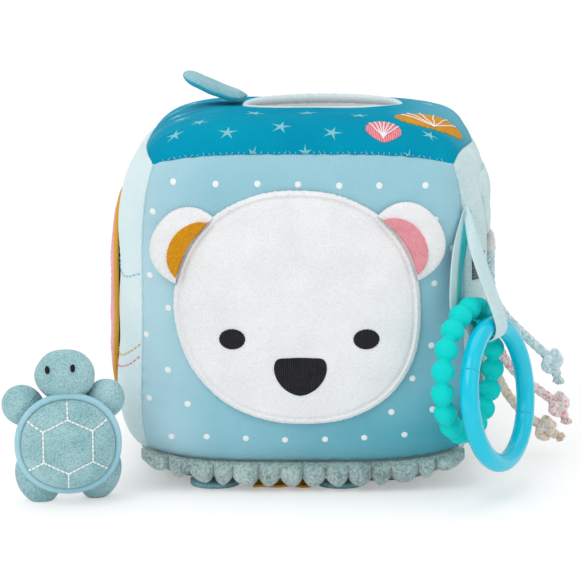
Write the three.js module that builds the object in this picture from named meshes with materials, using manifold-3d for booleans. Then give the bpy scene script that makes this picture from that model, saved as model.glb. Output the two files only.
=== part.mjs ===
// A stuffed fabric activity block for a baby, with a small stuffed turtle that stands beside it.
// Six sewn panels stand over two halves of fibre filling, with a rattle in the middle and a lined pocket
// in the top. The front has a padded bear's face, the right side has a ribbon loop with two teething
// rings and three knotted ropes, the left side has a padded flap, and the base has a frill and tabs.
// Millimetres. X is to the right of the front, Y is to the back and Z is up. The origin is the middle of
// the flat base, on the surface that the block stands on.

import * as THREE from "three";
import { mergeVertices } from "three/addons/utils/BufferGeometryUtils.js";
import Module from "manifold-3d";

const wasm = await Module();
wasm.setup();

// The block
const halfCorner = 70; // from the middle of the block to a corner, along each axis
const seamBow = 5.5; // how far a seam bows out between its corners
const bowPower = 4; // a seam keeps its full bow close up to its corners
const panelCrown = 10.5; // how far the front's and the back's middles stand proud of their seams
const sideCrown = 8; // the same for the two sides
const topCrown = 9.4; // the same for the top, which hands press down at the pocket
const baseCrown = 14; // the same for the base, before the surface flattens it
const crownPower = 8; // a high power keeps a panel full close up to its seams
const baseCrownPower = 7; // the base curves up to its seams more gently
const basePressed = 4.725; // how much the surface pushes the middle of the base in
const settledShare = 0.955; // the filling settles: below the middle, heights are this share of widths
const upperShare = 0.976; // and above the middle they are this share
const baseFlareShare = 0.1; // how much wider the settled base is than the middle
const rightFlareShare = 0.2; // how much further the top reaches out at its fuller right rear
const rightFlarePower = 5; // that fullness is close up to the top
const rightFlareFrom = -60; // it starts behind the front seam, here along Y
const rightFlareTo = -20; // and is full from here on
const panelCloth = 1.8; // printed cloth and its fleece backing
const seamGap = 0.3; // between two panels along a seam
const fillingGap = 1.2; // between the panels and the filling
const seatGap = 0.4; // between a sewn-on piece and what carries it
const middleHeight = (halfCorner + 2 * seamBow + baseCrown) * settledShare - basePressed;

// The rattle, at whose middle the two halves of the filling meet
const rattle = { radius: 17, height: 24, wall: 1.6, z: 60, ball: 6 };

// The pocket in the top
const mouth = { x: 10, y: 1, halfLength: 41, halfWidth: 16.5, turn: 5 };
const bindingRadius = 1.9;
const bindingSink = 0.9; // how far the middle of the binding lies below the top
const lining = { cloth: 1.2, depth: 52, narrowShare: 0.9 };

// The bear's face
const head = { x: -2.8, z: 89.9, halfWidth: 57, halfHeight: 54.3, power: 2.2, lean: 3.4 };
const headPad = 6;
const headRim = 1.6;
const earPad = 5;
const earRim = 1.4;
const earGap = 0.5;
const earSlopeShare = 0.21; // an ear leans back by this slope, away from the bowed panel
const earPlaceShares = { left: [-0.8825, 0.5285], right: [0.886, 0.5672] }; // of the head's half sizes
const earSizes = {
  left: { halfAlong: 18, halfOut: 16.5, turn: 142 },
  right: { halfAlong: 18.2, halfOut: 16.9, turn: 38 },
};
const patchShare = { along: 0.82, out: 0.72, inward: 0.25 }; // of the ear's own sizes
const stitchPad = 1.2; // how far satin stitch stands proud
const stitchRim = 0.6;
const eye = { halfWidth: 6, halfHeight: 4.7, z: 76.4, leftX: -32.6, rightX: 29.2 };
const nose = { x: -1.2, topZ: 67.6, halfWidth: 12.2, height: 17.4, middleShare: 0.45 };

// The two shells on the top: x and y are their middles, and a fan opens away from its hinge
const pinkShell = { x: 37.6, y: -63, halfWidth: 8.8, halfLength: 8.8, turn: -4 };
const ochreShell = { x: 60, y: -43, halfWidth: 10.5, halfLength: 16.8, turn: 88 };
const fanDrawnShare = 0.42; // how much narrower a fan is at its hinge

// The fin beside the pocket
const fin = { x: -32, y: 4, turn: 13, width: 26, cloth: 4, reach: 27, lift: 12, roll: 1.8 };
const finDrawnShare = 0.14; // how much narrower the fin is at its root
const finRiseShare = 1.35; // the power by which it lifts faster towards its tip

// The flap on the left side
const flap = { y: 3, z: 82, halfWidth: 47, halfHeight: 47.5, power: 2.3 };
const flapPad = { lining: 0.8, height: 3.4, rim: 1.4, binding: 1.7 };

// The frill along the front of the base
const frill = { lobes: 14, drop: 11.2, depth: 6.4, cloth: 1.6, valleyRise: 4.2, cornerRise: 4, gap: 0.6 };
const frillShares = { start: 0.12, run: 0.8, swellPower: 0.8, lobePower: 0.7 };

// The two padded tabs and the folded tag between them, under the front of the base
const baseTab = { halfWidth: 12, reach: 12.7, pad: 3, rim: 1.6, rootY: -67.2 };
const tabClear = { left: 6.3, right: 0.7 }; // between each tab and the tag
const tabPower = 2.3; // a tab's outline is a little fuller than an oval
const baseTag = { x: -9.2, width: 29, cloth: 1.4, rootY: -66, reach: 12, fallShare: 0.6 };

// The right side
const bell = { y: -2, z: 130.6, halfWidth: 52, halfHeight: 16.6, power: 4.5, taper: 0.16, pad: 1.7, rim: 1 };
const bellTrim = { y: -4, halfWidth: 34, halfHeight: 4.2, power: 4, taper: 0, pad: 4.4, rim: 3.8 };
const sideTag = { frontY: -72, reach: 9.6, z: 105.6, height: 12.4, cloth: 0.9 };

// Each rope hangs from the trim under the bell, and its own stiffness holds its end out from the block
const ropeRadius = 2.4;
const knotSize = { radius: 4.5, turnShare: 0.5, ropeShare: 0.52, tilt: 0.9 };
const ropes = {
  aqua: {
    route: [
      [92.6, -16, 104.8], [92.6, -16, 95], [93.2, -17, 85.5], [95.6, -18.5, 78.5], [100.2, -20, 71.6],
      [106.4, -21.4, 65.2], [113.6, -22.7, 58.6], [121.5, -23.7, 51.4],
    ],
    knot: [123.6, -24, 49.4],
    tail: [127.4, -24, 37.8],
  },
  pink: {
    route: [
      [92.6, -3, 104.8], [92.6, -3, 93], [92.9, -4.5, 81], [93.4, -7, 71], [94.6, -9.4, 62.6],
      [97.8, -11.6, 54.6], [101.6, -13, 47.2], [107.6, -14.2, 40.4], [115.4, -15.2, 34.4],
      [125.7, -16.1, 27.1],
    ],
    knot: [128.2, -16.2, 25.6],
    tail: [132.8, -16.2, 15.4],
  },
  sand: {
    route: [
      [92.6, 9, 104.8], [92.6, 9, 93], [92.9, 8.6, 81], [93.2, 7, 71], [93.6, 4.4, 61], [94.4, 1, 51],
      [97, -4, 41.4], [100.6, -8.6, 33], [105.6, -12, 26], [111.6, -14.4, 19.8], [119.4, -15.7, 14.6],
    ],
    knot: [121.9, -16, 13.2],
    tail: [130.4, -16.6, 7.4],
  },
};

// The ribbon loop, which is sewn into the front right seam, and the two rings that it carries
const ribbon = { width: 10, sewnWidth: 4, cloth: 1.1, z: 134.5, standOff: 2.7, clear: 2.8, sag: 2.4 };
const ribbonPlay = 0.7; // between the ribbon and the rings that it carries
const ribbonShares = { middle: 0.5, slackIn: 0.55, slackOut: 0.4, widening: 0.8 };
const ringTurn = 62; // degrees from +X to the direction in which both rings' faces run
const beads = { count: 18, radius: 5.4, neck: 3, ring: 29.1, x: 76.7, y: -92, z: 60.5 };
const hoop = { tube: 4.35, ring: 31.9, x: 90.5, y: -94.2, z: 49.9, lean: 8 };
const hoopJoint = 150; // degrees round the hoop from its right side to where its halves meet
const peg = { radius: 2.1, length: 5, play: 0.3 };

// The turtle, in a frame of its own: its front is -Y and its feet stand on Z = 0
const turtle = { x: -108.4, y: -103, turn: 7 };
const carapace = { z: 29.4, halfWidth: 20.8, halfHeight: 20.1, dome: 9.5, rim: 1.5, front: -2 };
const belly = { halfWidth: 21, halfHeight: 20.3, depth: 13, rim: 3, front: -1.5 };
const shellPower = 2.1;
const piping = { tube: 1.7, gap: 0.4 };
const turtleHead = { x: -0.8, y: 3.2, z: 60, halfWidth: 13.8, halfDepth: 10, halfHeight: 12.2 };
const arms = {
  left: { x: -20.4, y: 6.2, z: 45.6, halfLong: 10, halfShort: 9.3, turn: 141 },
  right: { x: 17.2, y: 6.2, z: 47.4, halfLong: 10, halfShort: 9, turn: 47 },
};
const legs = {
  left: { x: -14.4, y: 6.2, z: 11.2, halfLong: 13.4, halfShort: 9.8, turn: 112 },
  right: { x: 14.8, y: 9, z: 11.4, halfLong: 13.2, halfShort: 9.4, turn: 68 },
};
const limbHalfDepth = 7.2;
const turtleEye = { halfWidth: 1.1, halfHeight: 1.7, halfDepth: 0.8 };
const turtleEyes = { left: { x: -8.9, z: 64.4 }, right: { x: 2.7, z: 65.2 } };

// How finely curved pieces are faceted
const panelSteps = 10;
const fillingSteps = 6;
const padShares = [0.25, 0.62, 0.86, 1];
const thinPadShares = [0.3, 0.75, 1];
const ballSides = 12;
const ballRows = 8;
const headSides = 16;
const headRows = 11;
const eyeSides = 8;
const eyeRows = 6;

const white = 0xf2f3f4;
const black = 0x17161a;
const skyBlue = 0x9ccbdc;
const ocean = 0x0a93b5;
const paleAqua = 0xd6ecee;
const seaGreen = 0x9fb8b5;
const turtleGreen = 0x92bfc6;
const pipingBlue = 0x8cc8dd;
const ochre = 0xdca01c;
const rose = 0xe2808c;
const turquoise = 0x06cfc9;
const hoopBlue = 0x08bedd;
const slate = 0x6b7678;
const fibre = 0xf0f0ea;
const pinkRope = 0xe8cfcf;
const sandRope = 0xdccfc6;

function finish(color, roughness = 0.95) {
  return new THREE.MeshStandardMaterial({ color, roughness, metalness: 0 });
}

const part = new THREE.Group();

function place(parent, name, geometry, material) {
  const mesh = new THREE.Mesh(geometry, material);
  mesh.name = name;
  parent.add(mesh);
  return mesh;
}

// Closed surfaces

// Where a surface turns out to point inwards, all its faces are turned round.
function closedSurface(points, faces) {
  const normal = new THREE.Vector3();
  let volume = 0;
  for (const [i, j, k] of faces) {
    volume += normal.crossVectors(points[j], points[k]).dot(points[i]);
  }
  const geometry = new THREE.BufferGeometry().setFromPoints(points);
  geometry.setIndex(faces.flatMap(([i, j, k]) => (volume < 0 ? [i, k, j] : [i, j, k])));
  geometry.computeVertexNormals();
  return geometry;
}

// A slab between two grids of points, outer(u, w) and inner(u, w).
function slab(uShares, wShares, outer, inner) {
  const points = [];
  const triangles = [];
  const across = wShares.length;
  const layer = uShares.length * across;
  for (const side of [outer, inner]) {
    for (const u of uShares) for (const w of wShares) points.push(side(u, w));
  }
  const quad = (a, b, c, d) => triangles.push([a, b, c], [a, c, d]);
  for (let i = 0; i + 1 < uShares.length; i += 1) {
    for (let j = 0; j + 1 < across; j += 1) {
      const a = i * across + j;
      quad(a, a + across, a + across + 1, a + 1);
      quad(layer + a, layer + a + 1, layer + a + across + 1, layer + a + across);
    }
    const near = i * across;
    const far = near + across - 1;
    quad(near, layer + near, layer + near + across, near + across);
    quad(far, far + across, layer + far + across, layer + far);
  }
  for (let j = 0; j + 1 < across; j += 1) {
    const last = layer - across + j;
    quad(j, j + 1, layer + j + 1, layer + j);
    quad(last, layer + last, layer + last + 1, last + 1);
  }
  return closedSurface(points, triangles);
}

// Rings of points joined side by side. An open run is closed by a fan at each end.
function skin(rings, loop = false) {
  const points = rings.flat();
  const triangles = [];
  const sides = rings[0].length;
  const runs = loop ? rings.length : rings.length - 1;
  for (let i = 0; i < runs; i += 1) {
    const next = ((i + 1) % rings.length) * sides;
    for (let j = 0; j < sides; j += 1) {
      const k = (j + 1) % sides;
      triangles.push([i * sides + j, i * sides + k, next + k], [i * sides + j, next + k, next + j]);
    }
  }
  if (!loop) {
    for (const end of [0, rings.length - 1]) {
      const middle = points.length;
      points.push(rings[end].reduce((sum, p) => sum.add(p), new THREE.Vector3()).divideScalar(sides));
      for (let j = 0; j < sides; j += 1) {
        const a = end * sides + j;
        const b = end * sides + ((j + 1) % sides);
        triangles.push(end ? [a, b, middle] : [b, a, middle]);
      }
    }
  }
  return closedSurface(points, triangles);
}

// A pad over an outline: over(a, b, share) gives its front and under(a, b, share) its back, from the
// outline's middle at share 0 to its edge at share 1.
function pad(outline, middle, shares, over, under) {
  const ring = (share, side) =>
    outline.map(([a, b]) =>
      side(middle[0] + (a - middle[0]) * share, middle[1] + (b - middle[1]) * share, share),
    );
  return skin([...shares.map((s) => ring(s, under)), ...shares.toReversed().map((s) => ring(s, over))]);
}

// The height of a pad's crown at a share of the way to its edge, over a rim of its own.
const crownRise = (height, rim, share) => rim + (height - rim) * Math.sqrt(Math.max(0, 1 - share ** 3));

// An outline whose corners are rounder or squarer as the power falls or rises, turned by degrees.
function roundOutline(x, y, halfWidth, halfHeight, power = 2, turn = 0, count = 24) {
  const c = Math.cos(THREE.MathUtils.degToRad(turn));
  const s = Math.sin(THREE.MathUtils.degToRad(turn));
  return Array.from({ length: count }, (_, i) => {
    const angle = (i / count) * Math.PI * 2;
    const a = halfWidth * Math.sign(Math.cos(angle)) * Math.abs(Math.cos(angle)) ** (2 / power);
    const b = halfHeight * Math.sign(Math.sin(angle)) * Math.abs(Math.sin(angle)) ** (2 / power);
    return [x + a * c - b * s, y + a * s + b * c];
  });
}

// How far out a point lies in such an outline, from 0 in its middle to 1 on its edge.
function outlineShare(a, b, halfWidth, halfHeight, power) {
  const reach = Math.abs(a / halfWidth) ** power + Math.abs(b / halfHeight) ** power;
  return Math.min(1, reach ** (1 / power));
}

function solid(geometry) {
  const bare = geometry.index ? geometry.toNonIndexed() : geometry.clone();
  bare.deleteAttribute("normal");
  bare.deleteAttribute("uv");
  const merged = mergeVertices(bare);
  const vertProperties = new Float32Array(merged.attributes.position.array);
  const triVerts = new Uint32Array(merged.index.array);
  return new wasm.Manifold(new wasm.Mesh({ numProp: 3, vertProperties, triVerts }));
}

function surface(made) {
  const mesh = made.getMesh();
  const geometry = new THREE.BufferGeometry();
  geometry.setAttribute("position", new THREE.BufferAttribute(mesh.vertProperties, 3));
  geometry.setIndex(new THREE.BufferAttribute(mesh.triVerts, 1));
  geometry.computeVertexNormals();
  return geometry;
}

function ellipsoid({ x, y, z, halfX, halfY, halfZ, turn = 0 }, round = ballSides, tall = ballRows) {
  return new THREE.SphereGeometry(1, round, tall)
    .scale(halfX, halfY, halfZ)
    .rotateY(-THREE.MathUtils.degToRad(turn))
    .translate(x, y, z);
}

// A tube round a closed outline, laid at lay(a, b, rise, middlePoint) with its own rise and fall.
function outlineTube(outline, middle, radius, lay, sides = 6) {
  return skin(
    outline.map(([a, b]) => {
      const out = new THREE.Vector2(a - middle[0], b - middle[1]).normalize();
      return Array.from({ length: sides }, (_, i) => {
        const angle = (i / sides) * Math.PI * 2;
        const wide = Math.cos(angle) * radius;
        return lay(a + out.x * wide, b + out.y * wide, Math.sin(angle) * radius, [a, b]);
      });
    }),
    true,
  );
}

// A round tube along a smooth curve through points, with its two ends closed.
function roundTube(points, radius, steps, sides = 8) {
  const section = Array.from({ length: sides }, (_, i) => {
    const angle = (i / sides) * Math.PI * 2;
    return new THREE.Vector2(Math.cos(angle) * radius, Math.sin(angle) * radius);
  });
  const extrudePath = new THREE.CatmullRomCurve3(points);
  return new THREE.ExtrudeGeometry(new THREE.Shape(section), { steps, extrudePath });
}

// The stuffed block's shape. On each face u runs to the right and w up, from -1 to 1.

const faceAxes = {
  front: (a, d, b) => [a, -d, b],
  back: (a, d, b) => [-a, d, b],
  right: (a, d, b) => [d, a, b],
  left: (a, d, b) => [-d, -a, b],
  top: (a, d, b) => [a, b, d],
  bottom: (a, d, b) => [a, -b, -d],
};
const crowns = { top: topCrown, bottom: baseCrown, left: sideCrown, right: sideCrown };
const halfDepth = halfCorner + 2 * seamBow + panelCrown;
const bow = (t) => halfCorner + seamBow * (1 - Math.abs(t) ** bowPower);

function outwards(face, u, w) {
  const crown = crowns[face] ?? panelCrown;
  const power = face === "bottom" ? baseCrownPower : crownPower;
  const full = (1 - Math.abs(u) ** power) * (1 - Math.abs(w) ** power);
  return bow(u) + bow(w) - halfCorner + crown * full;
}

// The settled block: its heights, its wider base, and its fuller right side at the top.
const heightOf = (level) => middleHeight + level * (level > 0 ? upperShare : settledShare);
const levelOf = (z) => (z - middleHeight) / (z > middleHeight ? upperShare : settledShare);
const flare = (z) => 1 + baseFlareShare * Math.max(0, 1 - z / middleHeight) ** 2;
function rightFlare(x, y, z) {
  const rear = THREE.MathUtils.smoothstep(y, rightFlareFrom, rightFlareTo);
  return x > 0 ? 1 + rightFlareShare * rear * Math.max(0, z / middleHeight - 1) ** rightFlarePower : 1;
}

// A point of the block's skin, or of a skin that lies inset below it. The surface flattens the base.
function onBlock(face, u, w, inset = 0) {
  const scale = 1 - inset / halfDepth;
  const out = outwards(face, u, w);
  const [x, y, level] = faceAxes[face](u * bow(w) * scale, out * scale, w * bow(u) * scale);
  const z = Math.max(heightOf(level), inset);
  return new THREE.Vector3(x * flare(z) * rightFlare(x, y, z), y * flare(z), z);
}

// How far out a face is at two of its own lengths, which repeated division turns into u and w.
function depthAt(face, a, b) {
  let u = a / halfCorner;
  let w = b / halfCorner;
  for (let turn = 0; turn < 12; turn += 1) {
    [u, w] = [a / bow(w), b / bow(u)];
  }
  return outwards(face, THREE.MathUtils.clamp(u, -1, 1), THREE.MathUtils.clamp(w, -1, 1));
}

function frontAt(x, z, rise = 0) {
  const depth = depthAt("front", x / flare(z), levelOf(z)) * flare(z);
  return new THREE.Vector3(x, -depth - rise, z);
}

function rightAt(y, z, rise = 0) {
  const depth = depthAt("right", y / flare(z), levelOf(z)) * flare(z) * rightFlare(1, y, z);
  return new THREE.Vector3(depth + rise, y, z);
}

function leftAt(y, z, rise = 0) {
  return new THREE.Vector3(-depthAt("left", -y / flare(z), levelOf(z)) * flare(z) - rise, y, z);
}

// The height of the top or base at a place, found by repeating, because the flares hang on the height.
function heightAt(face, x, y) {
  const side = face === "top" ? 1 : -1;
  let z = face === "top" ? heightOf(halfDepth) : 0;
  for (let turn = 0; turn < 4; turn += 1) {
    const depth = depthAt(face, x / flare(z) / rightFlare(x, y, z), (side * y) / flare(z));
    z = Math.max(heightOf(side * depth), 0);
  }
  return z;
}

const topAt = (x, y, rise = 0) => new THREE.Vector3(x, y, heightAt("top", x, y) + rise);

// The panels

const seamEnd = 1 - seamGap / halfCorner / Math.SQRT2;

// Steps that are closer together towards both ends, where a panel curves most.
function closerAtEnds(steps, end) {
  return Array.from({ length: steps + 1 }, (_, i) => {
    const t = (2 * i) / steps - 1;
    return (end * (t + Math.sin((t * Math.PI) / 2))) / 2;
  });
}

function panel(face) {
  const shares = closerAtEnds(panelSteps, seamEnd);
  return slab(
    shares,
    shares,
    (u, w) => onBlock(face, u, w),
    (u, w) => onBlock(face, u, w, panelCloth),
  );
}

// An upright column through the pocket's mouth, from low to high.
function mouthColumn(low, high) {
  const outline = roundOutline(mouth.x, mouth.y, mouth.halfLength, mouth.halfWidth, 2, mouth.turn);
  return solid(skin([low, high].map((z) => outline.map(([x, y]) => new THREE.Vector3(x, y, z)))));
}

const topLevel = heightOf(halfDepth);
const overTop = topLevel + halfCorner;

place(part, "front_panel", panel("front"), finish(skyBlue));
place(part, "back_panel", panel("back"), finish(skyBlue));
place(part, "left_panel", panel("left"), finish(paleAqua));
place(part, "right_panel", panel("right"), finish(paleAqua));
place(part, "bottom_panel", panel("bottom"), finish(seaGreen));
const topCut = solid(panel("top")).subtract(mouthColumn(middleHeight, overTop));
place(part, "top_panel", surface(topCut), finish(ocean));

// The pocket: a bound mouth and a lining that hangs in the filling

const boundLength = mouth.halfLength - seatGap - bindingRadius;
const boundWidth = mouth.halfWidth - seatGap - bindingRadius;
const binding = outlineTube(
  roundOutline(mouth.x, mouth.y, boundLength, boundWidth, 2, mouth.turn, 28),
  [mouth.x, mouth.y],
  bindingRadius,
  (a, b, rise, [x, y]) => new THREE.Vector3(a, b, topAt(x, y, rise - bindingSink).z),
);
place(part, "pocket_binding", binding, finish(paleAqua));

// The lining is widest at the mouth and rounds in to its floor, as a cup does.
const liningShares = [0, 0.3, 0.62, 0.86, 1];
const liningTop = topAt(mouth.x + boundLength, mouth.y).z - bindingSink - bindingRadius - seatGap;

function liningRing(share, offset) {
  const narrow = Math.sqrt(1 - lining.narrowShare * share ** 4);
  const z = liningTop - (lining.depth + offset) * share;
  const halfLength = boundLength * narrow + offset;
  const halfWidth = boundWidth * narrow + offset;
  return roundOutline(mouth.x, mouth.y, halfLength, halfWidth, 2, mouth.turn, 20).map(
    ([x, y]) => new THREE.Vector3(x, y, z),
  );
}

const liningSkin = skin([
  ...liningShares.toReversed().map((s) => liningRing(s, -lining.cloth)),
  ...liningShares.map((s) => liningRing(s, 0)),
]);
place(part, "pocket_lining", liningSkin, finish(white));

// The filling: two halves that meet at the rattle, hollowed for the pocket and the rattle

// Whether u, then w, then outwards make a right-handed set on that face.
function rightHanded(face) {
  const units = [[1, 0, 0], [0, 0, 1], [0, 1, 0]];
  const [u, w, out] = units.map((v) => new THREE.Vector3(...faceAxes[face](...v)));
  return u.cross(w).dot(out) > 0;
}

function blockSkin(inset) {
  const shares = closerAtEnds(fillingSteps, 1);
  const points = [];
  const triangles = [];
  for (const face of Object.keys(faceAxes)) {
    const start = points.length;
    for (const u of shares) for (const w of shares) points.push(onBlock(face, u, w, inset));
    for (let i = 0; i < fillingSteps; i += 1) {
      for (let j = 0; j < fillingSteps; j += 1) {
        const a = start + i * shares.length + j;
        const b = a + shares.length;
        const pair = [[a, b, b + 1], [a, b + 1, a + 1]];
        triangles.push(...pair.map(([p, q, r]) => (rightHanded(face) ? [p, q, r] : [p, r, q])));
      }
    }
  }
  return solid(closedSurface(points, triangles));
}

function cylinder(radius, height, z, sides = 16) {
  const upright = new THREE.CylinderGeometry(radius, radius, height, sides).rotateX(Math.PI / 2);
  return solid(upright.translate(0, 0, z));
}

function levelBox(low, high) {
  const wide = 4 * halfDepth;
  return solid(new THREE.BoxGeometry(wide, wide, high - low).translate(0, 0, (low + high) / 2));
}

const liningRoom = solid(skin(liningShares.toReversed().map((s) => liningRing(s, fillingGap))));
const rattleRoom = cylinder(rattle.radius + seatGap, rattle.height + 2 * seatGap, rattle.z);
const filling = blockSkin(panelCloth + fillingGap)
  .subtract(liningRoom)
  .subtract(mouthColumn(liningTop - seatGap, overTop))
  .subtract(rattleRoom);
const lowerHalf = filling.intersect(levelBox(-halfDepth, rattle.z - seamGap / 2));
const upperHalf = filling.intersect(levelBox(rattle.z + seamGap / 2, overTop));
place(part, "filling_lower", surface(lowerHalf), finish(fibre, 1));
place(part, "filling_upper", surface(upperHalf), finish(fibre, 1));

// The rattle: two cups, turned from a profile that starts and ends on the axis, and a loose ball

function rattleCup(side) {
  const half = (rattle.height - seamGap) / 2;
  const inner = rattle.radius - rattle.wall;
  const profile = [
    [0, half - rattle.wall],
    [inner, half - rattle.wall],
    [inner, 0],
    [rattle.radius, 0],
    [rattle.radius, half],
    [0, half],
  ].map(([r, h]) => new THREE.Vector2(r, h));
  const cup = new THREE.LatheGeometry(profile, 16).rotateX((side * Math.PI) / 2);
  return surface(solid(cup.translate(0, 0, rattle.z + (side * seamGap) / 2)));
}

place(part, "rattle_cup_lower", rattleCup(-1), finish(white, 0.4));
place(part, "rattle_cup_upper", rattleCup(1), finish(white, 0.4));
const ballZ = rattle.z - rattle.height / 2 + rattle.wall + seatGap + rattle.ball;
const ball = new THREE.SphereGeometry(rattle.ball, 10, 7).translate(0, 0, ballZ);
place(part, "rattle_ball", ball, finish(ochre, 0.4));

// The bear's face on the front panel

// The head's outline, whose chin sits a little to the right of its brow.
function headOutline(grow, count) {
  const halfWidth = head.halfWidth + grow;
  const halfHeight = head.halfHeight + grow;
  return roundOutline(head.x, head.z, halfWidth, halfHeight, head.power, 0, count).map(([x, z]) => [
    x + chinShift(z),
    z,
  ]);
}

const chinShift = (z) => head.lean * Math.max(0, (head.z - z) / head.halfHeight);

function headAt(x, z, rise = 0) {
  const across = x - head.x - chinShift(z);
  const share = outlineShare(across, z - head.z, head.halfWidth, head.halfHeight, head.power);
  return frontAt(x, z, seatGap + crownRise(headPad, headRim, share) + rise);
}

const bearHead = pad(
  headOutline(0, 32),
  [head.x, head.z],
  padShares,
  (x, z) => headAt(x, z),
  (x, z) => frontAt(x, z, seatGap),
);
place(part, "bear_head", bearHead, finish(white));

// A column through the head's outline, which the ears are cut back from.
const headRoomOutline = headOutline(earGap, 64);
const headRoom = solid(
  skin([-2 * halfDepth, 0].map((y) => headRoomOutline.map(([x, z]) => new THREE.Vector3(x, y, z)))),
);

function bearEar(side, patchColour) {
  const [across, above] = earPlaceShares[side];
  const ear = {
    x: head.x + across * head.halfWidth,
    z: head.z + above * head.halfHeight,
    ...earSizes[side],
  };
  const out = new THREE.Vector2(ear.x - head.x, ear.z - head.z).normalize();
  const seat = -frontAt(ear.x, ear.z, seatGap).y;
  const at = (x, z, rise) => {
    const back = seat - earSlopeShare * ((x - ear.x) * out.x + (z - ear.z) * out.y);
    return new THREE.Vector3(x, -back - rise, z);
  };
  const middle = [ear.x, ear.z];
  const padded = pad(
    roundOutline(ear.x, ear.z, ear.halfOut, ear.halfAlong, 2.2, ear.turn, 20),
    middle,
    padShares,
    (x, z, share) => at(x, z, crownRise(earPad, earRim, share)),
    (x, z) => at(x, z, 0),
  );
  place(part, `bear_ear_${side}`, surface(solid(padded).subtract(headRoom)), finish(white));
  const patchX = ear.x - out.x * ear.halfOut * patchShare.inward;
  const patchZ = ear.z - out.y * ear.halfOut * patchShare.inward;
  const patchOut = ear.halfOut * patchShare.out;
  const patchAlong = ear.halfAlong * patchShare.along;
  const patch = pad(
    roundOutline(patchX, patchZ, patchOut, patchAlong, 2, ear.turn, 18),
    [patchX, patchZ],
    thinPadShares,
    (x, z, share) => at(x, z, earPad + seatGap + crownRise(stitchPad, stitchRim, share)),
    (x, z) => at(x, z, earPad + seatGap),
  );
  place(part, `ear_patch_${side}`, surface(solid(patch).subtract(headRoom)), finish(patchColour, 0.6));
}

bearEar("left", ochre);
bearEar("right", rose);

// Satin stitch over an outline, on whatever at(a, b, rise) gives.
function stitched(outline, middle, at) {
  return pad(
    outline,
    middle,
    thinPadShares,
    (a, b, share) => at(a, b, seatGap + crownRise(stitchPad, stitchRim, share)),
    (a, b) => at(a, b, seatGap),
  );
}

for (const [side, x] of [["left", eye.leftX], ["right", eye.rightX]]) {
  const outline = roundOutline(x, eye.z, eye.halfWidth, eye.halfHeight, 2, 0, 14);
  place(part, `bear_eye_${side}`, stitched(outline, [x, eye.z], headAt), finish(black, 0.5));
}

// The nose is broad and nearly flat on top, and rounds down to its tip. Its right half, from the top.
const noseShares = [[0.4, 0], [0.86, 0.04], [1, 0.26], [0.9, 0.56], [0.62, 0.82], [0.28, 0.97]];
const noseOutline = [
  ...noseShares,
  ...noseShares.toReversed().map(([across, down]) => [-across, down]),
].map(([across, down]) => [nose.x + across * nose.halfWidth, nose.topZ - down * nose.height]);
const noseMiddle = [nose.x, nose.topZ - nose.middleShare * nose.height];
place(part, "bear_nose", stitched(noseOutline, noseMiddle, headAt), finish(black, 0.5));

// The two scallop shells on the top: round at the far edge and drawn in to the hinge

function fanOutline({ x, y, halfWidth, halfLength, turn }) {
  const c = Math.cos(THREE.MathUtils.degToRad(turn));
  const s = Math.sin(THREE.MathUtils.degToRad(turn));
  return roundOutline(0, 0, halfWidth, halfLength, 2, 0, 18).map(([a, b]) => {
    const narrow = a * (1 - fanDrawnShare * Math.max(0, -b / halfLength) ** 2);
    return [x + narrow * c - b * s, y + narrow * s + b * c];
  });
}

for (const [name, shell, tint] of [["pink_shell", pinkShell, rose], ["ochre_shell", ochreShell, ochre]]) {
  place(part, name, stitched(fanOutline(shell), [shell.x, shell.y], topAt), finish(tint, 0.7));
}

// The fin: a flat stuffed tongue that rises to the left from its root beside the pocket

const finShares = [0, 0.15, 0.36, 0.58, 0.78, 0.9, 0.97, 1];
const finTurn = THREE.MathUtils.degToRad(fin.turn);
const finAcross = new THREE.Vector3(Math.sin(finTurn), Math.cos(finTurn), 0);
const finSeat = topAt(fin.x, fin.y, seatGap + fin.cloth / 2);

function finRing(share) {
  const width = Math.sqrt(Math.max(0.03, 1 - share ** 5)) * (1 - finDrawnShare * (1 - share));
  const thick = Math.sqrt(Math.max(0.1, 1 - share ** 8));
  const middle = finSeat.clone();
  middle.x -= fin.reach * share;
  middle.z += fin.lift * share ** finRiseShare;
  return Array.from({ length: 10 }, (_, i) => {
    const angle = (i / 10) * Math.PI * 2;
    const point = middle.clone().addScaledVector(finAcross, (Math.cos(angle) * fin.width * width) / 2);
    point.z += (Math.sin(angle) * fin.cloth * thick) / 2 + Math.cos(angle) * fin.roll * share;
    return point;
  });
}

place(part, "top_fin", skin(finShares.map(finRing)), finish(pipingBlue));

// The flap on the left side: lining, pad and binding. Its rear edge is sewn to the panel.

const flapBack = (y, z, rise) => leftAt(y, z, seatGap + rise);
const flapMiddle = [flap.y, flap.z];
const flapOutline = (grow) =>
  roundOutline(flap.y, flap.z, flap.halfWidth + grow, flap.halfHeight + grow, flap.power, 0, 28);
place(
  part,
  "flap_lining",
  pad(
    flapOutline(0),
    flapMiddle,
    thinPadShares,
    (y, z) => flapBack(y, z, flapPad.lining),
    (y, z) => flapBack(y, z, 0),
  ),
  finish(ocean),
);
const flapPadBack = flapPad.lining + seatGap;
place(
  part,
  "flap_pad",
  pad(
    flapOutline(0),
    flapMiddle,
    padShares,
    (y, z, share) => flapBack(y, z, flapPadBack + crownRise(flapPad.height, flapPad.rim, share)),
    (y, z) => flapBack(y, z, flapPadBack),
  ),
  finish(rose),
);
place(
  part,
  "flap_binding",
  outlineTube(flapOutline(seatGap + flapPad.binding), flapMiddle, flapPad.binding, (a, b, rise, [y, z]) =>
    new THREE.Vector3(flapBack(y, z, flapPad.binding + rise).x, a, b),
  ),
  finish(ochre),
);

// The frill: a strip of plush gathered into round lobes, sewn into the seam along the front of the base

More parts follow.
